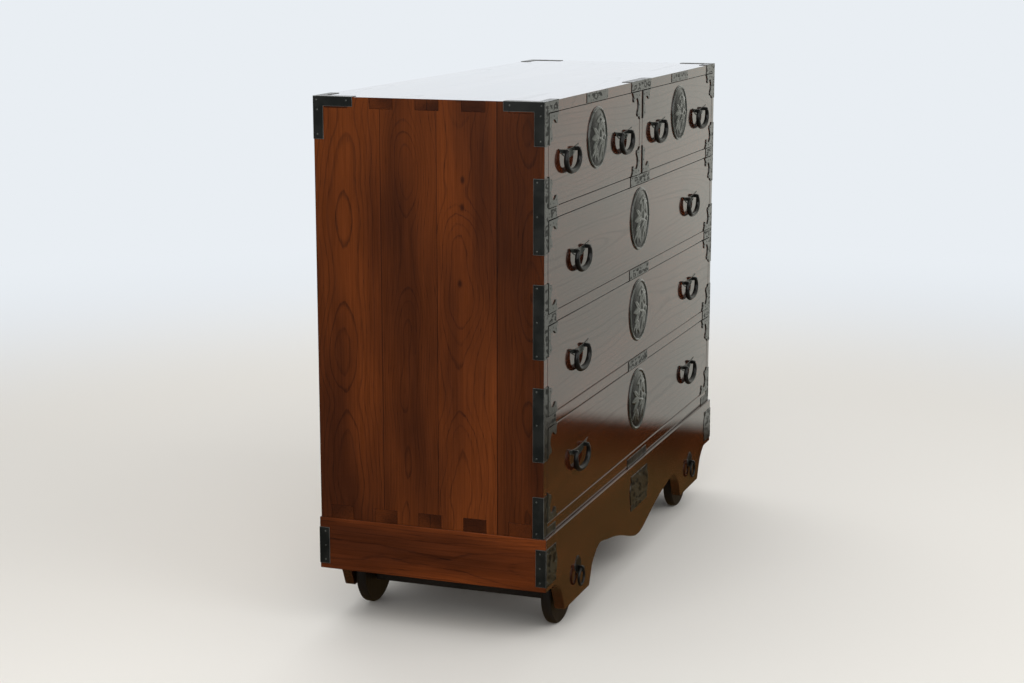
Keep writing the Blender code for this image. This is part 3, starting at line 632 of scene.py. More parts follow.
def rod(mesh, route, radii, sides=14, hoop=False):
    """A round bar along a route that lies in one upright plane facing the front."""
    befores = [route[-1] if hoop else route[0], *route[:-1]]
    afters = [*route[1:], route[0] if hoop else route[-1]]
    rows = []
    for before, point, after, radius in zip(befores, route, afters, radii):
        out = (after - before).normalized().cross(Y_WAY)
        ring = [math.cos(turn) * out + math.sin(turn) * Y_WAY for turn in around(sides)]
        rows.append([point + radius * away for away in ring])
    lofted(mesh, rows, hoop)


def turned(mesh, profile, centre, segments, hoop=True):
    """A solid turned about a line along Y, alike at both ends.

    The profile of its first half lists radius and distance along that line from the centre.
    """
    rows = []
    for radius, along in [*profile, *[(radius, -along) for radius, along in reversed(profile)]]:
        ring = [(radius * math.sin(turn), along, radius * math.cos(turn)) for turn in around(segments)]
        rows.append([centre + Vector(point) for point in ring])
    lofted(mesh, rows, hoop)


def smooth_line(points, steps=6):
    """Points on a smooth curve that passes through the given ones."""
    padded = np.array([points[0], *points, points[-1]], float)
    curve = []
    for a, b, c, d in zip(padded, padded[1:], padded[2:], padded[3:]):
        for step in range(steps):
            t = step / steps
            bend = 2 * a - 5 * b + 4 * c - d + t * (3 * b - a - 3 * c + d)
            curve.append(tuple(((2 * b + t * (c - a + t * bend)) / 2).tolist()))
    return [*curve, tuple(points[-1])]


def eased_board(mesh, low, high, edge):
    """A board between two corners, with every edge rounded a little."""
    made = bmesh.ops.create_cube(mesh, size=1.0)["verts"]
    for vert in made:
        share = vert.co + Vector((0.5, 0.5, 0.5))
        vert.co = Vector([low[axis] + share[axis] * (high[axis] - low[axis]) for axis in range(3)])
    bevelled(mesh, list({side for vert in made for side in vert.link_edges}), edge, 3)


def finish_piece(name, mesh, body, materials, replaces=(), angle=35, flats=True):
    """Turns a worked mesh into a piece that rides on a body and takes its finish from a slot."""
    bmesh.ops.recalc_face_normals(mesh, faces=mesh.faces)
    data = bpy.data.meshes.new(name)
    mesh.to_mesh(data)
    mesh.free()
    data.shade_smooth()
    data.set_sharp_from_angle(angle=math.radians(angle))
    piece = bpy.data.objects.new(name, data)
    bpy.context.scene.collection.objects.link(piece)
    if flats:
        weighted = piece.modifiers.new("flat_faces_stay_flat", "WEIGHTED_NORMAL")
        weighted.keep_sharp = True
    for material in materials:
        data.materials.append(material)
    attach(piece, body)
    if replaces:
        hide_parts(*replaces)
    return piece


def say_size(piece):
    print(piece.name, [round(side, 4) for side in piece.dimensions], len(piece.data.polygons), "faces")


print("mesh helpers ready")

# %% [markdown]
# The back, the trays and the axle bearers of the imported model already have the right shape, so they
# keep it and only take a better material.

# %% Finish the boards that keep their shape
BOARD_FINISHES = {"back_panel": back_wood, "axle_bearer_left": tray_wood, "axle_bearer_right": tray_wood}
BOARD_FINISHES |= {"drawer_box_" + drawer: tray_wood for drawer in DRAWERS}
for node, material in BOARD_FINISHES.items():
    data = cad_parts[node].data
    if not data.materials:
        data.materials.append(material)
    for index in range(len(data.materials)):
        data.materials[index] = material
print("dressed", len(BOARD_FINISHES), "boards")

# %% [markdown]
# The side panels and the top board meet in finger joints. Their front edges are polished like the
# drawers, while the sides are satin. The irons that bind them stand a little proud, and together they
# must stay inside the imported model's height. So these boards are copied, planed down by the irons'
# thickness, and their edges are eased. The rails and the divider between the drawers are eased more on
# the front, where their rounded edges catch the light.

# %% Plane and ease the boards of the case
PLANED = 0.0013
WOOD_TOP = TOP_Z - PLANED
KEEN_EDGE = 0.0004


def planed_board(node, materials, ease):
    """A copy of a board with eased edges, planed down at the top. The second material takes its front."""
    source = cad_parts[node]
    mesh = bmesh.new()
    mesh.from_mesh(source.data)
    mesh.transform(source.matrix_world)
    bmesh.ops.remove_doubles(mesh, verts=mesh.verts, dist=0.00001)
    bmesh.ops.dissolve_limit(mesh, angle_limit=0.01, verts=mesh.verts, edges=mesh.edges)
    for vert in mesh.verts:
        vert.co.z = min(vert.co.z, WOOD_TOP)
    sharp = [edge for edge in mesh.edges if edge.is_manifold and edge.calc_face_angle() > 0.5]
    front = [edge for edge in sharp if all(vert.co.y < FRONT_Y + 0.0001 for vert in edge.verts)]
    rest = [edge for edge in sharp if edge not in front]
    for edges, offset, rounds in ((front, ease, 3), (rest, KEEN_EDGE, 2)):
        bevelled(mesh, [edge for edge in edges if edge.is_valid], offset, rounds, clamp_overlap=True)
    for face in mesh.faces:
        polished = face.normal.y < -0.3 or (face.normal.z > 0.6 and materials[0] == side_wood)
        face.material_index = 1 if polished else 0
        if len(materials) > 2 and abs(face.normal.x) > 0.6:
            face.material_index = 2
    return finish_piece("planed_" + node, mesh, "chest", materials, [node])


upright = [side_wood, front_wood]
level = [top_wood, front_wood, finger_wood]
for node, materials, ease in (
    ("side_panel_left", upright, KEEN_EDGE),
    ("side_panel_right", upright, KEEN_EDGE),
    ("top_board", level, KEEN_EDGE),
    ("bottom_board", level, 0.0022),
    ("rail_board_upper", [front_wood] * 2, 0.0018),
    ("rail_board_middle", [front_wood] * 2, 0.0018),
    ("rail_board_lower", [front_wood] * 2, 0.0018),
    ("drawer_divider", upright, 0.0014),
):
    say_size(planed_board(node, materials, ease))

# %% [markdown]
# A drawer front is a plain board, but its edges aren't knife sharp: they are eased by hand, and the
# eased edge is what catches the light between two drawers. So each front is rebuilt at the node's own
# size, with a narrow rounding.

# %% Build the drawer fronts
FRONT_EASE = 0.0016
for drawer in DRAWERS:
    node = "drawer_front_" + drawer
    mesh = bmesh.new()
    eased_board(mesh, *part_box(node), FRONT_EASE)
    body = "drawer_" + drawer
    say_size(finish_piece("front_board_" + drawer, mesh, body, [front_wood], [node]))

# %% [markdown]
# The plinth's front and back boards are sawn to a curve: a cove by each corner, a foot, a raised arch
# and a low middle. The points below are shares of half the length and of the foot's drop, and a smooth
# line joins them. The long edges are rounded, and that rounding draws the bright line along the plinth.

# %% Build the plinth boards
RAIL_UNDER_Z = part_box("plinth_rail_left")[0].z
FOOT_Z = PLINTH_LOW.z
PLINTH_TOP_Z = PLINTH_HIGH.z
PLINTH_BOARD = 0.020
IRON_ROOM = 0.0018
PLINTH_X = PLINTH_HALF - IRON_ROOM
PLINTH_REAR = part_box("plinth_apron_back")[1].y - IRON_ROOM
COVE = ((0.0946, 0.0), (0.1387, 0.25), (0.1615, 0.54), (0.1811, 0.93), (0.188, 1.0))
ARCH = (
    (0.4360, 1.0),
    (0.4523, 0.706),
    (0.4768, 0.347),
    (0.5446, 0.015),
    (0.6352, 0.118),
    (0.7186, 0.247),
    (0.81, 0.45),
    (0.90, 0.71),
    (0.965, 0.86),
    (1.0, 0.88),
)


def apron_line(shares):
    drop = RAIL_UNDER_Z - FOOT_Z
    return smooth_line([(PLINTH_HALF * (1 - along), RAIL_UNDER_Z - drop * down) for along, down in shares])


def plinth_board(prefix, node, rows, wood):
    """A board between an outer and an inner outline, with the edges of the outer face rounded."""
    mesh = bmesh.new()
    *_, ends = lofted(mesh, rows)
    bevelled(mesh, list(ends[0].edges), FRONT_EASE, 3)
    say_size(finish_piece(prefix + node, mesh, "chest", [wood], [node], 30))


corners = [(0.0, PLINTH_TOP_Z), (PLINTH_X, PLINTH_TOP_Z), (PLINTH_X, RAIL_UNDER_Z)]
outline = mirrored_line([*corners, *apron_line(COVE), *apron_line(ARCH)])
for end, outer_y, inward in (("front", PLINTH_FRONT_Y, 1), ("back", PLINTH_REAR, -1)):
    rows = []
    for depth in (0.0, PLINTH_BOARD):
        limit = PLINTH_X - depth
        rows.append([(max(-limit, min(limit, x)), outer_y + inward * depth, z) for x, z in outline])
    plinth_board("sawn_", "plinth_apron_" + end, rows, front_wood)
for end, side in (("left", -1), ("right", 1)):
    rows = []
    for depth in (0.0, PLINTH_BOARD):
        near, far = PLINTH_FRONT_Y + depth, PLINTH_REAR - depth
        corners = [(near, RAIL_UNDER_Z), (far, RAIL_UNDER_Z), (far, PLINTH_TOP_Z), (near, PLINTH_TOP_Z)]
        rows.append([(side * (PLINTH_X - depth), y, z) for y, z in corners])
    plinth_board("eased_", "plinth_rail_" + end, rows, plinth_side_wood)
print("plinth stands", round(PLINTH_TOP_Z, 4), "high on feet at", round(FOOT_Z, 4))

# %% [markdown]
# The wheels are solid discs with a rounded tread and a raised hub, and each turns on a journal of the
# squared axle beam. They are turned about the same line as the nodes that they replace.

# %% Build the wheels and axles
TREAD = 0.07176
HUB, HUB_RISE = 0.024, 0.0016
BORE, JOURNAL, CHAMFER = 0.0137, 0.013, 0.0012
BEAM_HALF, BEAM_GAP = 0.022, 0.001
for corner in ("front_left", "front_right", "back_left", "back_right"):
    node = "wheel_" + corner
    low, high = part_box(node)
    half = (high.y - low.y) / 2
    profile = [
        (BORE, -half),
        (HUB, -half),
        (HUB + 0.002, -half + HUB_RISE),
        (0.064, -half + HUB_RISE),
        (TREAD - 0.004, -half + 0.001),
        (TREAD - 0.0012, -half + 0.0032),
        (TREAD, -half + 0.0062),
    ]
    mesh = bmesh.new()
    turned(mesh, profile, (low + high) / 2, 96)
    say_size(finish_piece("turned_" + node, mesh, node, [wheel_wood], [node], 40))
beam_ends = (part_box("wheel_front_left")[1].y + BEAM_GAP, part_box("wheel_back_left")[0].y - BEAM_GAP)
for node in ("axle_left", "axle_right"):
    low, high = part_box(node)
    centre = (low + high) / 2
    half = (high.y - low.y) / 2
    mesh = bmesh.new()
    beam = [(centre.x + away, y, centre.z + away) for away, y in zip((-BEAM_HALF, BEAM_HALF), beam_ends)]
    eased_board(mesh, *beam, 0.0022)
    turned(mesh, [(JOURNAL - CHAMFER, -half), (JOURNAL, CHAMFER - half)], centre, 32, hoop=False)
    say_size(finish_piece("hewn_" + node, mesh, "chest", [wheel_wood], [node], 40))

# %% [markdown]
# A handle has two parts. The back plate is a crescent with its tips up and two pierced posts, and the
# bail is a bar that hangs from the posts and swells towards the grip. The plate rides on the drawer,
# and the bail rides on its own body, so that it can swing.

# %% Build the handles
BAIL_DROP = 0.0385
BAIL_REACH = 0.040
BAIL_HALF_BAR = 0.0045
POST_APART = 0.066
POST_GAP = 0.0005
CRESCENT_TALL, CRESCENT_TIP = 0.016, 0.0055
HANDLE_EYE, RING_EYE = 0.0037, 0.00615
SHEET = 0.0012
SOFT_SHEET = 0.0005
HANDLE_NAILS = ((-0.0495, -0.0005), (0.0495, -0.0005))
PIN = [(0.0290, 0.0, 0.0044), (0.0325, 0.0, 0.0046)]
BAIL = (
    (0.90, 0.060, 0.0070),
    (0.95, 0.15, 0.0082),
    (0.985, 0.28, 0.0090),
    (0.99, 0.42, 0.0096),
    (0.93, 0.60, 0.0101),
    (0.79, 0.77, 0.0105),
    (0.56, 0.90, 0.0107),
    (0.29, 0.965, 0.0108),
    (0.0, 0.98, 0.0108),
)


def crescent(length, height, tip_rise, top):
    """The outline of the handle's back plate about the hinge, with pointed tips that turn up."""
    half = length / 2
    upper = [(index / 14 * half, top + tip_rise * (index / 14) ** 2) for index in range(15)]
    lower = [(x, z - height * math.cos(x / half * math.pi / 2) ** 0.9) for x, z in upper[:-1]]
    return mirrored_line([*upper, *reversed(lower)])


def build_post(mesh, hinge, x, plate_y, radius, width, slot=0):
    """A rounded post with an eye for the pin, standing off the plate towards the front."""
    reach = plate_y - hinge.y - POST_GAP
    turns = [math.pi * step / 14 for step in range(15)]
    shell = [(reach, radius), *[(-radius * math.sin(turn), radius * math.cos(turn)) for turn in turns]]
    shell.append((reach, -radius))
    rows = [[hinge + Vector((x + half, y, z)) for y, z in shell] for half in (width / 2, -width / 2)]
    *_, ends = lofted(mesh, rows, slot=slot)
    bevelled(mesh, [*ends[0].edges, *ends[1].edges], 0.0006, 2)


def build_handle(drawer, side):
    """The back plate and the bail of one handle. Returns the bail."""
    node = "bail_" + drawer + "_" + side
    plate_node = "handle_plate_" + drawer + "_" + side
    low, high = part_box(node)
    plate_low, plate_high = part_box(plate_node)
    hinge = Vector(((low.x + high.x) / 2, (low.y + high.y) / 2, low.z + BAIL_DROP + BAIL_HALF_BAR))
    plane = on_front(hinge.x, FRONT_Y, hinge.z)
    mesh = bmesh.new()
    plate = crescent(plate_high.x - plate_low.x, CRESCENT_TALL, CRESCENT_TIP, 0.002)
    cut_sheet(mesh, plate, SHEET, plane, SOFT_SHEET, nails=HANDLE_NAILS, radius=0.0016)
    for sign in (-1, 1):
        build_post(mesh, hinge, sign * POST_APART / 2, FRONT_Y, HANDLE_EYE, 0.005, FOURTH_SLOT)
    looks = [oiled_iron, bar_iron, nail_painted_highlight_iron, bar_iron]
    finish_piece("handle_back_" + drawer + "_" + side, mesh, "drawer_" + drawer, looks, [plate_node])
    bar = smooth_line([(along * BAIL_REACH, -down * BAIL_DROP, thick) for along, down, thick in BAIL])
    right = [*PIN, *bar]
    route = [*right, *[(-x, z, thick) for x, z, thick in reversed(right[:-1])]]
    mesh = bmesh.new()
    rod(mesh, [hinge + Vector((x, 0, z)) for x, z, _ in route], [thick / 2 for *_, thick in route], 16)
    return finish_piece("hanging_" + node, mesh, node, [bar_iron], [node], angle=50, flats=False)


for drawer in DRAWERS:
    for side in ("left", "right"):
        piece = build_handle(drawer, side)
say_size(piece)

# %% [markdown]
# The round lock plates are cast with a picture in low relief inside a smooth rim. Here the picture is a
# plain spray of bamboo: a stem and clusters of leaves, made from a few numbers each. The height is
# worked out at every point of a round grid, and the same height, kept as an attribute, lets the
# material darken the hollows and lighten what hands and cloths have rubbed. The attribute also carries
# painted shade: a painted shadow over the lower left of the ground, and a black keyhole.

# %% Work out the bamboo relief
STEMS = [
    ((-0.66, -0.62), (-0.12, 0.02), 0.085),
    ((-0.12, 0.02), (0.30, 0.78), 0.075),
    ((-0.12, 0.02), (0.66, -0.16), 0.050),
]
LEAVES = [
    (0.28, 0.70, 190, 0.62, 0.26),
    (0.24, 0.66, 228, 0.74, 0.28),
    (0.26, 0.62, 268, 0.66, 0.25),
    (0.30, 0.60, 308, 0.62, 0.25),
    (0.30, 0.66, 345, 0.55, 0.24),
    (-0.10, 0.06, 148, 0.70, 0.27),
    (-0.12, 0.04, 182, 0.74, 0.27),
    (-0.16, -0.02, 214, 0.66, 0.24),
    (0.60, -0.14, 232, 0.78, 0.30),
    (0.60, -0.14, 268, 0.74, 0.27),
    (0.44, -0.10, 200, 0.52, 0.22),
    (0.62, -0.12, 20, 0.34, 0.20),
    (-0.40, -0.32, 272, 0.58, 0.25),
    (-0.38, -0.30, 306, 0.74, 0.28),
]


def leaf(x, z, turn, length, width):
    """The height of one leaf about its stalk: a long drop shape with a groove down its middle."""
    angle = math.radians(turn)
    along = (x * math.cos(angle) + z * math.sin(angle)) / length
    aside = (z * math.cos(angle) - x * math.sin(angle)) / width
    half = np.sin(np.pi * np.clip(along, 0.0, 1.0) ** 0.75) * 0.5 + 1e-4
    body = np.clip(1 - (aside / half) ** 2, 0.0, 1.0) * ((along > 0) & (along < 1))
    return np.sqrt(body) * (1 - 0.45 * np.exp(-((aside / 0.07) ** 2)))


def bamboo(x, z):
    """Relief height from 0 to 1 at places given as shares of the plate's radius."""
    height = np.zeros_like(x)
    for (x0, z0), (x1, z1), width in STEMS:
        span = np.array([x1 - x0, z1 - z0])
        share = np.clip(((x - x0) * span[0] + (z - z0) * span[1]) / (span @ span), 0, 1)
        away = np.hypot(x - x0 - share * span[0], z - z0 - share * span[1]) / width
        joints = 1 + 0.25 * np.exp(-(((share * 3) % 1 - 0.5) / 0.08) ** 2)
        height = np.maximum(height, 0.62 * joints * np.sqrt(np.clip(1 - away**2, 0, 1)))
    for index, (x0, z0, *shape) in enumerate(LEAVES):
        height = np.maximum(height, (0.64 + 0.12 * (index % 4)) * leaf(x - x0, z - z0, *shape))
    return height


print("the relief has", len(STEMS), "stems and", len(LEAVES), "leaves")

# %% [markdown]
# From the middle outwards, a lock plate is a low dome that carries the picture, a groove, a raised ring
# and a round rim. The keyhole has a smooth plate of its own in the picture. The keyhole itself is a shallow
# dip painted black, a painted shade for the dark inside of a hole.

# %% Build the lock plates
ROUND_STEPS = 168
RIM_SHARES = (0.91, 0.92, 0.932, 0.945, 0.96, 0.975, 0.988, 0.996, 1.0)
RADIAL_SHARES = np.array([*np.linspace(0.02, 0.90, 56), *RIM_SHARES])
PLATE_FLOOR = 0.0012
DOME = 0.0030
RELIEF = 0.0021
RIM_RISE = 0.0032
KEYHOLE_X = 0.14
PICTURE_SIZE, PICTURE_END = 0.88, 0.90
RING_START, RING_END = 0.905, 0.915
RIM_START, RIM_WIDTH = 0.962, 0.0385
NAIL_CIRCLE = 0.955


def build_lock_plate(drawer):
    node = "lock_plate_" + drawer
    low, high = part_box(node)
    centre = (low + high) / 2
    size = (high.x - low.x) / 2
    share, turn = np.meshgrid(RADIAL_SHARES, around(ROUND_STEPS), indexing="ij")
    x, z = share * np.sin(turn), share * np.cos(turn)
    raised = bamboo(x / PICTURE_SIZE, z / PICTURE_SIZE) * (share < PICTURE_END)
    key_plate = ((x - KEYHOLE_X) / 0.105) ** 2 + ((z - 0.46) / 0.25) ** 2
    key_plate = 1 - np.clip((key_plate - 0.8) / 0.25, 0, 1)
    raised = raised * (1 - key_plate) + 0.7 * key_plate
    keyhole = ((x - KEYHOLE_X) / 0.036) ** 2 + ((z - 0.44) / 0.165) ** 2 < 1
    keyhole |= (x - KEYHOLE_X) ** 2 + (z - 0.56) ** 2 < 0.062**2
    dome = DOME * (1 - (share / 0.91) ** 2)
    lift = PLATE_FLOOR + dome + RELIEF * raised
    ring = PLATE_FLOOR + 0.0020 * np.clip((share - RING_START) / 0.03, 0, 1)
    rim = RIM_RISE * np.sqrt(np.clip(1 - ((share - RIM_START) / RIM_WIDTH) ** 2, 0, 1))
    lift = np.where(share > RING_START, ring, lift)
    lift = np.where(share > RIM_START, rim, lift)
    lift = np.where(keyhole, (PLATE_FLOOR + dome) / 2, lift)
    # The picture's ground has a painted shadow: it is darker towards the lower left.
    ground_painted_shadow = 0.42 - 0.34 * np.clip(0.5 - 0.9 * x - 0.35 * z, 0, 1)
    near_leaf = np.clip(raised / 0.22, 0, 1) * np.clip((0.30 - raised) / 0.10, 0, 1)
    tone = np.where(raised > 0.02, 0.25 + 0.8 * raised, ground_painted_shadow) * (1 - 0.85 * near_leaf)
    tone = np.where(share > RING_END, 0.60, tone)
    tone = np.where((share > PICTURE_END) & (share <= RING_END), 0.08, tone)
    # The keyhole is painted black, a painted shade for the dark inside of a hole.
    tone = np.where(keyhole, 0.0, tone)
    mesh = bmesh.new()
    places = np.stack([centre.x + size * x, FRONT_Y - lift, centre.z + size * z], axis=-1)
    lofted(mesh, places.tolist())
    plane = on_front(centre.x, FRONT_Y, centre.z)
    circle = size * NAIL_CIRCLE
    for turn in around(12)[1::2]:
        nail(mesh, plane, circle * math.sin(turn), circle * math.cos(turn), RIM_RISE - 0.0001, 0.0016)
    looks = [relief_iron, worn_edge_painted_highlight_iron, nail_painted_highlight_iron]
    piece = finish_piece("relief_" + node, mesh, "drawer_" + drawer, looks, [node], angle=60, flats=False)
    values = np.full(len(piece.data.vertices), 0.6, np.float32)
    values[: tone.size] = tone.ravel()
    piece.data.attributes.new("raised", "FLOAT", "POINT").data.foreach_set("value", values)
    return piece


for drawer in DRAWERS:
    say_size(build_lock_plate(drawer))

# %% [markdown]
# Corner irons hold the case together. At each top corner one plate wraps over the side, the front or
# back, and the top. Lower down, straps wrap round the front edges where the rails meet the sides. Each
# face of a wrapped plate is cut as its own thin sheet, and the sheets meet along the edge. Outlines and
# nails are measured from the corner of the case, so that one outline serves all the corners.

# %% Build the case irons
THICK = 0.0011
TOP_THICK = 0.0009
WRAP = THICK * 0.9
SOFT = 0.0007
RECESS = PLANED - TOP_THICK
STILE = HALF_LENGTH - INNER_X
CORNER_TALL = 0.080
SIDE_ARM = ((-WRAP, RECESS), (0.078, RECESS), (0.078, 0.019), (0.0195, 0.019), (0.0195, CORNER_TALL))
SIDE_NAILS = ((0.006, 0.008), (0.066, 0.008), (0.0075, 0.026), (0.0075, 0.071))
TOP_ARMS = ((0, -WRAP), (0.078, -WRAP), (0.078, 0.0165), (0.0185, 0.0165), (0.0185, 0.078), (0, 0.078))
TOP_NAILS = ((0.008, 0.008), (0.068, 0.008), (0.008, 0.068))
TOP_NAIL_RISE = 0.0003
STRAP_WIDE = 0.021
STRAPS = ((0.667, 0.529), (0.4756, 0.337), (0.285, 0.1456), (0.080, 0.0))
FIELD_BORDER = 0.0022
front = on_front(0, FRONT_Y, 0)
top = on_top(WOOD_TOP)


def square(left, low, right, high):
    return [(left, low), (right, low), (right, high), (left, high)]


def engraved_plate(mesh, where, left, low, right, high, lap=0.0):
    """A square-cut plate with a plain border round its engraved field. A lap widens the border below."""
    border = FIELD_BORDER
    field = square(left + border, low + lap + border, right - border, high - border)
    cut_sheet(mesh, square(left, low, right, high), THICK, where, field=field)


def build_case_irons(side, name):
    """The irons at one end of the case. Returns a mesh with those on the front."""
    x = side * HALF_LENGTH
    panel = on_side(side, x)
    mesh = bmesh.new()
    for y, inward in ((FRONT_Y, 1), (BACK_Y, -1)):
        corner = from_corner(panel, y, TOP_Z, inward, -1)
        cut_sheet(mesh, [*SIDE_ARM, (-WRAP, CORNER_TALL)], THICK, corner, SOFT, nails=SIDE_NAILS)
        corner = from_corner(top, x, y, -side, inward)
        cut_sheet(mesh, TOP_ARMS, TOP_THICK, corner, nails=TOP_NAILS, rise=TOP_NAIL_RISE)
    corner = from_corner(on_back(BACK_Y), x, TOP_Z, -side, -1)
    back_nails = ((0.010, 0.066), (0.010, 0.018))
    cut_sheet(mesh, square(0, PLANED, STILE, CORNER_TALL), THICK, corner, SOFT, nails=back_nails)
    fine = bmesh.new()
    engraved_plate(fine, from_corner(front, x, TOP_Z, -side, -1), 0, RECESS, STILE, CORNER_TALL, TOP_THICK)
    for high, low in STRAPS:
        shares = (0.05, 0.5, 0.95) if high - low > 0.1 else (0.12, 0.88)
        nails = [(0.0135, low + share * (high - low)) for share in shares]
        corner = from_corner(panel, FRONT_Y, BASE_Z, 1, 1)
        cut_sheet(mesh, square(-WRAP, low + 0.0005, STRAP_WIDE, high), THICK, corner, SOFT, nails=nails)
        engraved_plate(fine, from_corner(front, x, BASE_Z, -side, 1), 0, low + 0.0005, STILE, high)
    finish_piece("corner_irons_" + name, mesh, "chest", IRONS)
    return fine


front_sheets = {"left": build_case_irons(-1, "left"), "right": build_case_irons(1, "right")}
print("case irons at both ends, each", THICK * 1000, "mm thick")

# %% [markdown]
# On the front, every rail edge carries three engraved plates: one in the middle and one at each end,
# where it meets the strap. The top board has five. They are no taller than the board's own edge, so the
# drawers pass them freely. The bottom board is thicker than its plates.

# %% Build the rail plates
MIDDLE = 0.071
RAIL_MIDDLE, RAIL_END, TOP_END = 0.0695, 0.068, 0.0745
QUARTER_X, QUARTER_HALF = 0.300, 0.066
top_edge = TOP_UNDER_Z + 0.0006
rail_edges = []
for board in ("rail_board_upper", "rail_board_middle", "rail_board_lower", "bottom_board"):
    low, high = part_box(board)
    rail_edges.append((low.z + 0.0004, low.z + 0.0170 if board == "bottom_board" else high.z - 0.0004))
for name, side in (("left", -1), ("right", 1)):
    mesh = front_sheets[name]
    corner = from_corner(front, side * HALF_LENGTH, 0, -side, 1)
    for low_z, high_z in rail_edges:
        engraved_plate(mesh, corner, STILE, low_z, RAIL_END, high_z)
    engraved_plate(mesh, corner, STILE, top_edge, TOP_END, WOOD_TOP)
    quarter = from_corner(front, side * QUARTER_X, 0, 1, 1)
    engraved_plate(mesh, quarter, -QUARTER_HALF, top_edge + 0.0006, QUARTER_HALF, WOOD_TOP - 0.0012)
    finish_piece("front_edge_plates_" + name, mesh, "chest", FRONT_IRONS)
mesh = bmesh.new()
for low_z, high_z in rail_edges:
    engraved_plate(mesh, front, -RAIL_MIDDLE, low_z, RAIL_MIDDLE, high_z)
engraved_plate(mesh, front, -MIDDLE, top_edge, MIDDLE, WOOD_TOP + TOP_THICK)
finish_piece("front_middle_plates", mesh, "chest", FRONT_IRONS)
mesh = bmesh.new()
nails = ((-0.058, 0.011), (0.058, 0.011))
corner = from_corner(top, 0, FRONT_Y, 1, 1)
cut_sheet(mesh, square(-MIDDLE, 0, MIDDLE, 0.020), TOP_THICK, corner, nails=nails, rise=TOP_NAIL_RISE)
finish_piece("top_middle_plate", mesh, "chest", IRONS)
print("rail plates on", len(rail_edges), "rails and the top board")

# %% [markdown]
# Each drawer front has an ornamental plate in every corner, with two arms that end in a lobe and a
# sharp tip. One arm is drawn as a line of points, the other is its mirror image, and each
# corner of each drawer turns the same outline round.

# %% Build the drawer corner plates
ORNAMENT_THICK = 0.0020
LONG_ARM, TALL_ARM = 0.054, 0.057
ARM_POINTS = (
    (0.0540, 0.0016),
    (0.0515, 0.0040),
    (0.0486, 0.0070),
    (0.0474, 0.0105),
    (0.0480, 0.0145),
    (0.0466, 0.0180),
    (0.0432, 0.0200),
    (0.0394, 0.0190),
    (0.0360, 0.0162),
    (0.0315, 0.0134),
    (0.0260, 0.0124),
    (0.0215, 0.0128),
    (0.0180, 0.0150),
)
ORNAMENT_NAILS = ((0.0075, 0.0075), (0.043, 0.011), (0.011, 0.0455), (0.026, 0.0062), (0.0062, 0.0275))
arm = smooth_line(ARM_POINTS, 3)
other_arm = [(v, u * TALL_ARM / LONG_ARM) for u, v in reversed(arm[:-1])]
ornament = [(0.0, 0.0), (LONG_ARM, 0.0), *arm, *other_arm, (0.0, TALL_ARM)]
for drawer in DRAWERS:
    low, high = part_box("drawer_front_" + drawer)
    mesh = bmesh.new()
    for x, way_x in ((low.x, 1), (high.x, -1)):
        for z, way_z in ((low.z, 1), (high.z, -1)):
            corner = from_corner(front, x, z, way_x, way_z)
            cut_sheet(mesh, ornament, ORNAMENT_THICK, corner, nails=ORNAMENT_NAILS, radius=0.0016)
    finish_piece("corner_plates_" + drawer, mesh, "drawer_" + drawer, [oiled_iron, bar_iron, nail_painted_highlight_iron])
print("twenty corner plates of", len(ornament), "points each")

# %% [markdown]
# The plinth has irons of its own: one round each corner, with a bowed free edge on the front and back,
# and one broad plate in the middle of the front. Their sides swell outwards between small notches. They
# are measured downwards from their top edge.

# %% Build the plinth irons
PLATE_HIGH = BASE_Z - 0.020
PLATE_TALL = 0.072
NOTCH_START, NOTCH_END, NOTCH_DEEP = 0.010, 0.012, 0.003
END_NAILS = ((0.012, 0.008), (0.012, 0.036), (0.012, 0.064))
CORNER_NAILS = ((0.006, 0.008), (0.006, 0.064), (0.048, 0.010), (0.048, 0.062), (0.052, 0.036))
MIDDLE_NAILS = [(u, v) for u in (-0.053, 0.0, 0.053) for v in (0.010, 0.067)]
plinth_front = on_front(0, PLINTH_FRONT_Y, 0)


def bowed(start, end, edge, bow):
    """Points down a free edge that swells outwards, with a small notch at both ends."""
    middle, half = (start + end) / 2, (end - start) / 2 - NOTCH_END - 0.001
    shares = np.linspace(-1, 1, 11).tolist()
    swell = [(edge + bow * (1 - share**2), middle + share * half) for share in shares]
    notch = edge - NOTCH_DEEP
    upper = [(edge, start), (edge, start + NOTCH_START), (notch, start + NOTCH_END)]
    return [*upper, *swell, (notch, end - NOTCH_END), (edge, end - NOTCH_START), (edge, end)]


corner_outline = [(0.0, 0.0), *bowed(0.0, PLATE_TALL, 0.056, 0.007), (0.0, PLATE_TALL)]
for name, side in (("left", -1), ("right", 1)):
    x = side * PLINTH_X
    mesh = bmesh.new()
    for y, inward in ((PLINTH_FRONT_Y, 1), (PLINTH_REAR, -1)):
        corner = from_corner(on_side(side, x), y, PLATE_HIGH, inward, -1)
        cut_sheet(mesh, square(-THICK / 2, 0, 0.0205, PLATE_TALL), THICK, corner, SOFT, nails=END_NAILS)
    finish_piece("plinth_end_irons_" + name, mesh, "chest", IRONS)
    mesh = bmesh.new()
    for plane in (plinth_front, on_back(PLINTH_REAR)):
        corner = from_corner(plane, x, PLATE_HIGH, -side, -1)
        cut_sheet(mesh, corner_outline, THICK, corner, nails=CORNER_NAILS)
    finish_piece("plinth_corner_irons_" + name, mesh, "chest", FRONT_IRONS)
mesh = bmesh.new()
right_edge = bowed(0.002, PLATE_TALL + 0.005, 0.060, 0.0075)
outline = [*right_edge, *[(-u, v) for u, v in reversed(right_edge)]]
cut_sheet(mesh, outline, THICK, from_corner(plinth_front, 0, PLATE_HIGH, 1, -1), nails=MIDDLE_NAILS)
finish_piece("plinth_middle_plate", mesh, "chest", FRONT_IRONS)
print("plinth irons from", round(PLATE_HIGH - PLATE_TALL, 4), "to", round(PLATE_HIGH, 4))

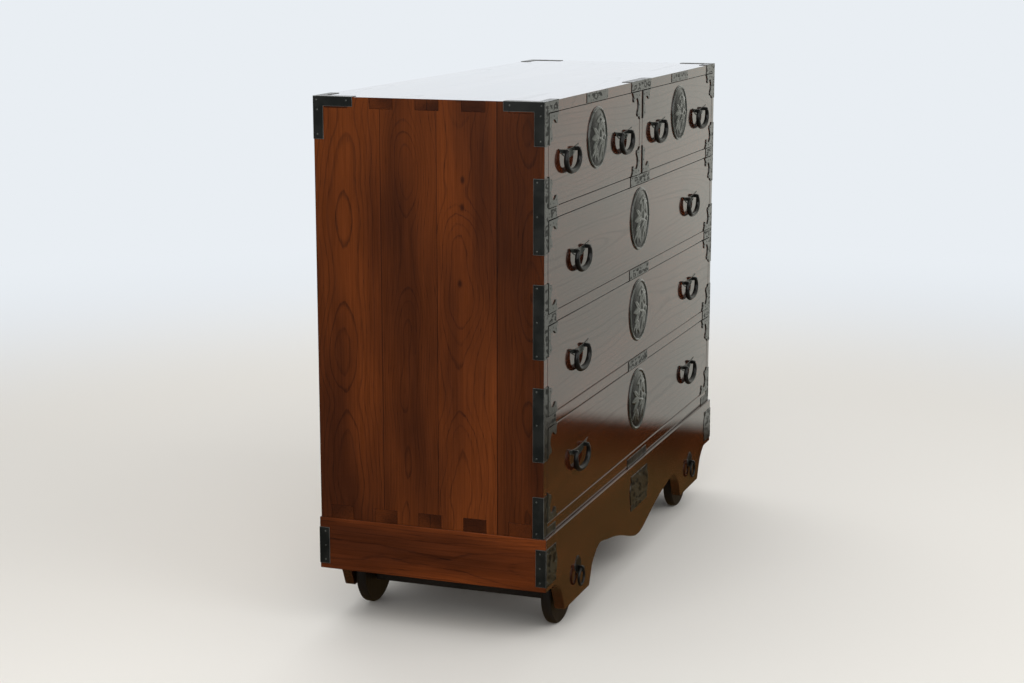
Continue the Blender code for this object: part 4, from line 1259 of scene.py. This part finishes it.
# %% [markdown]
# Two small ring pulls hang on the front of the plinth. The plate has a lobed outline, its single post
# is pierced, and the ring passes through it and rides on its own body.

# %% Build the ring pulls
RING_LOBES = (
    (0.0, 0.0255),
    (0.007, 0.0235),
    (0.0125, 0.0185),
    (0.0185, 0.0125),
    (0.0195, 0.0075),
    (0.0185, 0.0025),
    (0.0125, -0.0035),
    (0.007, -0.0085),
    (0.0, -0.0105),
)
RING_IRONS = [bar_iron, worn_edge_painted_highlight_iron, nail_painted_highlight_iron]
RING_NAILS = ((-0.0135, 0.0075), (0.0135, 0.0075), (0.0, 0.0205), (0.0, -0.0065))
for side in ("left", "right"):
    node = "ring_" + side
    low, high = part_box(node)
    thick = high.y - low.y
    radius = (high.z - low.z - thick) / 2
    hinge = Vector(((low.x + high.x) / 2, (low.y + high.y) / 2, high.z - thick / 2))
    plane = on_front(hinge.x, PLINTH_FRONT_Y, hinge.z)
    mesh = bmesh.new()
    plate = mirrored_line(smooth_line(RING_LOBES, 4))
    cut_sheet(mesh, plate, SHEET, plane, SOFT_SHEET, nails=RING_NAILS, radius=0.0015)
    build_post(mesh, hinge, 0.0, PLINTH_FRONT_Y, RING_EYE, 0.0045)
    finish_piece("ring_back_" + side, mesh, "chest", RING_IRONS, ["ring_mount_" + side])
    turns = around(56)
    route = [hinge + radius * Vector((math.sin(turn), 0, math.cos(turn) - 1)) for turn in turns]
    mesh = bmesh.new()
    rod(mesh, route, [thick / 2] * len(turns), hoop=True)
    say_size(finish_piece("hanging_" + node, mesh, node, [bar_iron], [node], angle=50, flats=False))

# %% [markdown]
# The studio is a plain pale floor that turns to white further off, so the polished front has something
# pale to mirror. The camera sees one even pale tone far off. Polished faces see a painted reflection
# instead: for glossy rays the floor glows with a bright surround that is darker towards one side, and
# with a warm, dark border near the chest, which paints the deep reflection in the lowest drawer and the
# plinth. The chest itself is lit by soft lamps and an even world.

# %% Build the floor
PALE = seen(233, 238, 243)
WARM_PALE = seen(233, 233, 223)
NEAR_FLOOR = seen(229, 226, 220)
NEAR_PAINTED_REFLECTION, BORDER_PAINTED_REFLECTION = seen(84, 66, 38), seen(58, 34, 16)
OPEN_FROM, OPEN_FULLY = 1.7, 4.4
BORDER_START, BORDER_END = 1.10, 1.30
mesh = bmesh.new()
bmesh.ops.create_circle(mesh, cap_ends=True, segments=64, radius=26.0)
floor_data = bpy.data.meshes.new("studio_floor")
mesh.to_mesh(floor_data)
mesh.free()
studio_floor = bpy.data.objects.new("studio_floor", floor_data)
bpy.context.scene.collection.objects.link(studio_floor)
studio_floor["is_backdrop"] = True


def surround(direction):
    """The colour and brightness that polished faces mirror in a direction."""
    east, north, _ = parts_of(direction)
    colour = mixed(smooth_step(north, -0.2, 0.2), WARM_PALE, PALE)
    level = times(smooth_step(east, -0.3, 0.4, 0.12, 1.0), smooth_step(north, -0.37, 0.0, 0.50, 1.06))
    return colour, level


def glow(tree, colour, strength=1.0, kind="ShaderNodeEmission"):
    return add(tree, kind, {"Color": colour, "Strength": strength}).outputs[0]


def covered(share, first, second):
    """The first shader, covered by the second one as far as the share says."""
    return add(share.id_data, "ShaderNodeMixShader", {0: share, 1: first, 2: second}).outputs[0]


floor_material, tree, shader = new_material("pale_studio_floor")
coords = add(tree, "ShaderNodeTexCoord").outputs["Object"]
away = vector_maths("LENGTH", coords, {})["Value"]
open_share = smooth_step(away, OPEN_FROM, OPEN_FULLY)
floor_colour = mixed(open_share, NEAR_FLOOR, PALE)
connect(shader, {"Base Color": floor_colour, "Roughness": 0.75, "Specular IOR Level": 0.2})
rays = add(tree, "ShaderNodeLightPath").outputs
open_floor = covered(times(rays["Is Camera Ray"], open_share), shader.outputs[0], glow(tree, PALE))
# For glossy rays only the floor glows: a painted reflection, pale far off and warm and dark near the chest.
colour, level = surround(vector_maths("NORMALIZE", coords, {})[0])
painted_far_reflection = glow(tree, colour, times(level, smooth_step(away, 2.5, 7.0, 1.0, 1.16)))
east, north, _ = parts_of(coords)
beside = maths("MAXIMUM", maths("ABSOLUTE", east), maths("ABSOLUTE", north))
painted_near_reflection = glow(tree, mixed(smooth_step(beside, 0.55, 1.05), NEAR_PAINTED_REFLECTION, BORDER_PAINTED_REFLECTION))
mirrored = covered(smooth_step(beside, BORDER_START, BORDER_END), painted_near_reflection, painted_far_reflection)
cover = covered(rays["Is Glossy Ray"], open_floor, mirrored)
connect(tree.nodes["Material Output"], {"Surface": cover})
floor_data.materials.append(floor_material)
print("floor", [round(side, 1) for side in studio_floor.dimensions])

# %% Set the world and the lamps
world = bpy.data.worlds.new("even_studio")
bpy.context.scene.world = world
world.use_nodes = True
tree = world.node_tree
ambient = tree.nodes["Background"]
connect(ambient, {"Color": (1.0, 1.0, 1.0, 1.0), "Strength": 0.42})
rays = add(tree, "ShaderNodeLightPath").outputs
colour, level = surround(add(tree, "ShaderNodeTexCoord").outputs["Generated"])
mirrored = glow(tree, colour, level, "ShaderNodeBackground")
backdrop = glow(tree, PALE, 1.0, "ShaderNodeBackground")
polished = maths("MAXIMUM", rays["Is Glossy Ray"], rays["Is Transmission Ray"])
lit = covered(polished, ambient.outputs[0], mirrored)
connect(tree.nodes["World Output"], {"Surface": covered(rays["Is Camera Ray"], lit, backdrop)})

CHEST_MIDDLE = Vector((0.0, 0.0, 0.6))
for name, place, size, power in (
    ("window_left", (-3.4, -0.4, 2.6), 3.8, 95),
    ("window_front", (-0.8, -3.6, 2.8), 4.0, 80),
    ("window_right", (3.0, 1.5, 3.9), 4.4, 98),
):
    data = bpy.data.lights.new(name, "AREA")
    data.shape = "SQUARE"
    data.size = size
    data.energy = power
    lamp = bpy.data.objects.new(name, data)
    bpy.context.scene.collection.objects.link(lamp)
    lamp.location = place
    lamp.rotation_euler = (CHEST_MIDDLE - Vector(place)).to_track_quat("-Z", "Y").to_euler()
    lamp.visible_camera = False

# %% [markdown]
# Last, the most that the dressed chest stands out of the imported model's box is printed, because the
# looks mustn't change the object's dimensions.

# %% Print how far the dressed chest stands out
VISUAL_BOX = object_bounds()
(cad_low, cad_high), (low, high) = CAD_BOX, VISUAL_BOX
growth = [max(cad_low[axis] - low[axis], high[axis] - cad_high[axis]) for axis in range(3)]
print("most that the dressed chest stands out, in mm:", [round(part * 1000, 2) for part in growth])
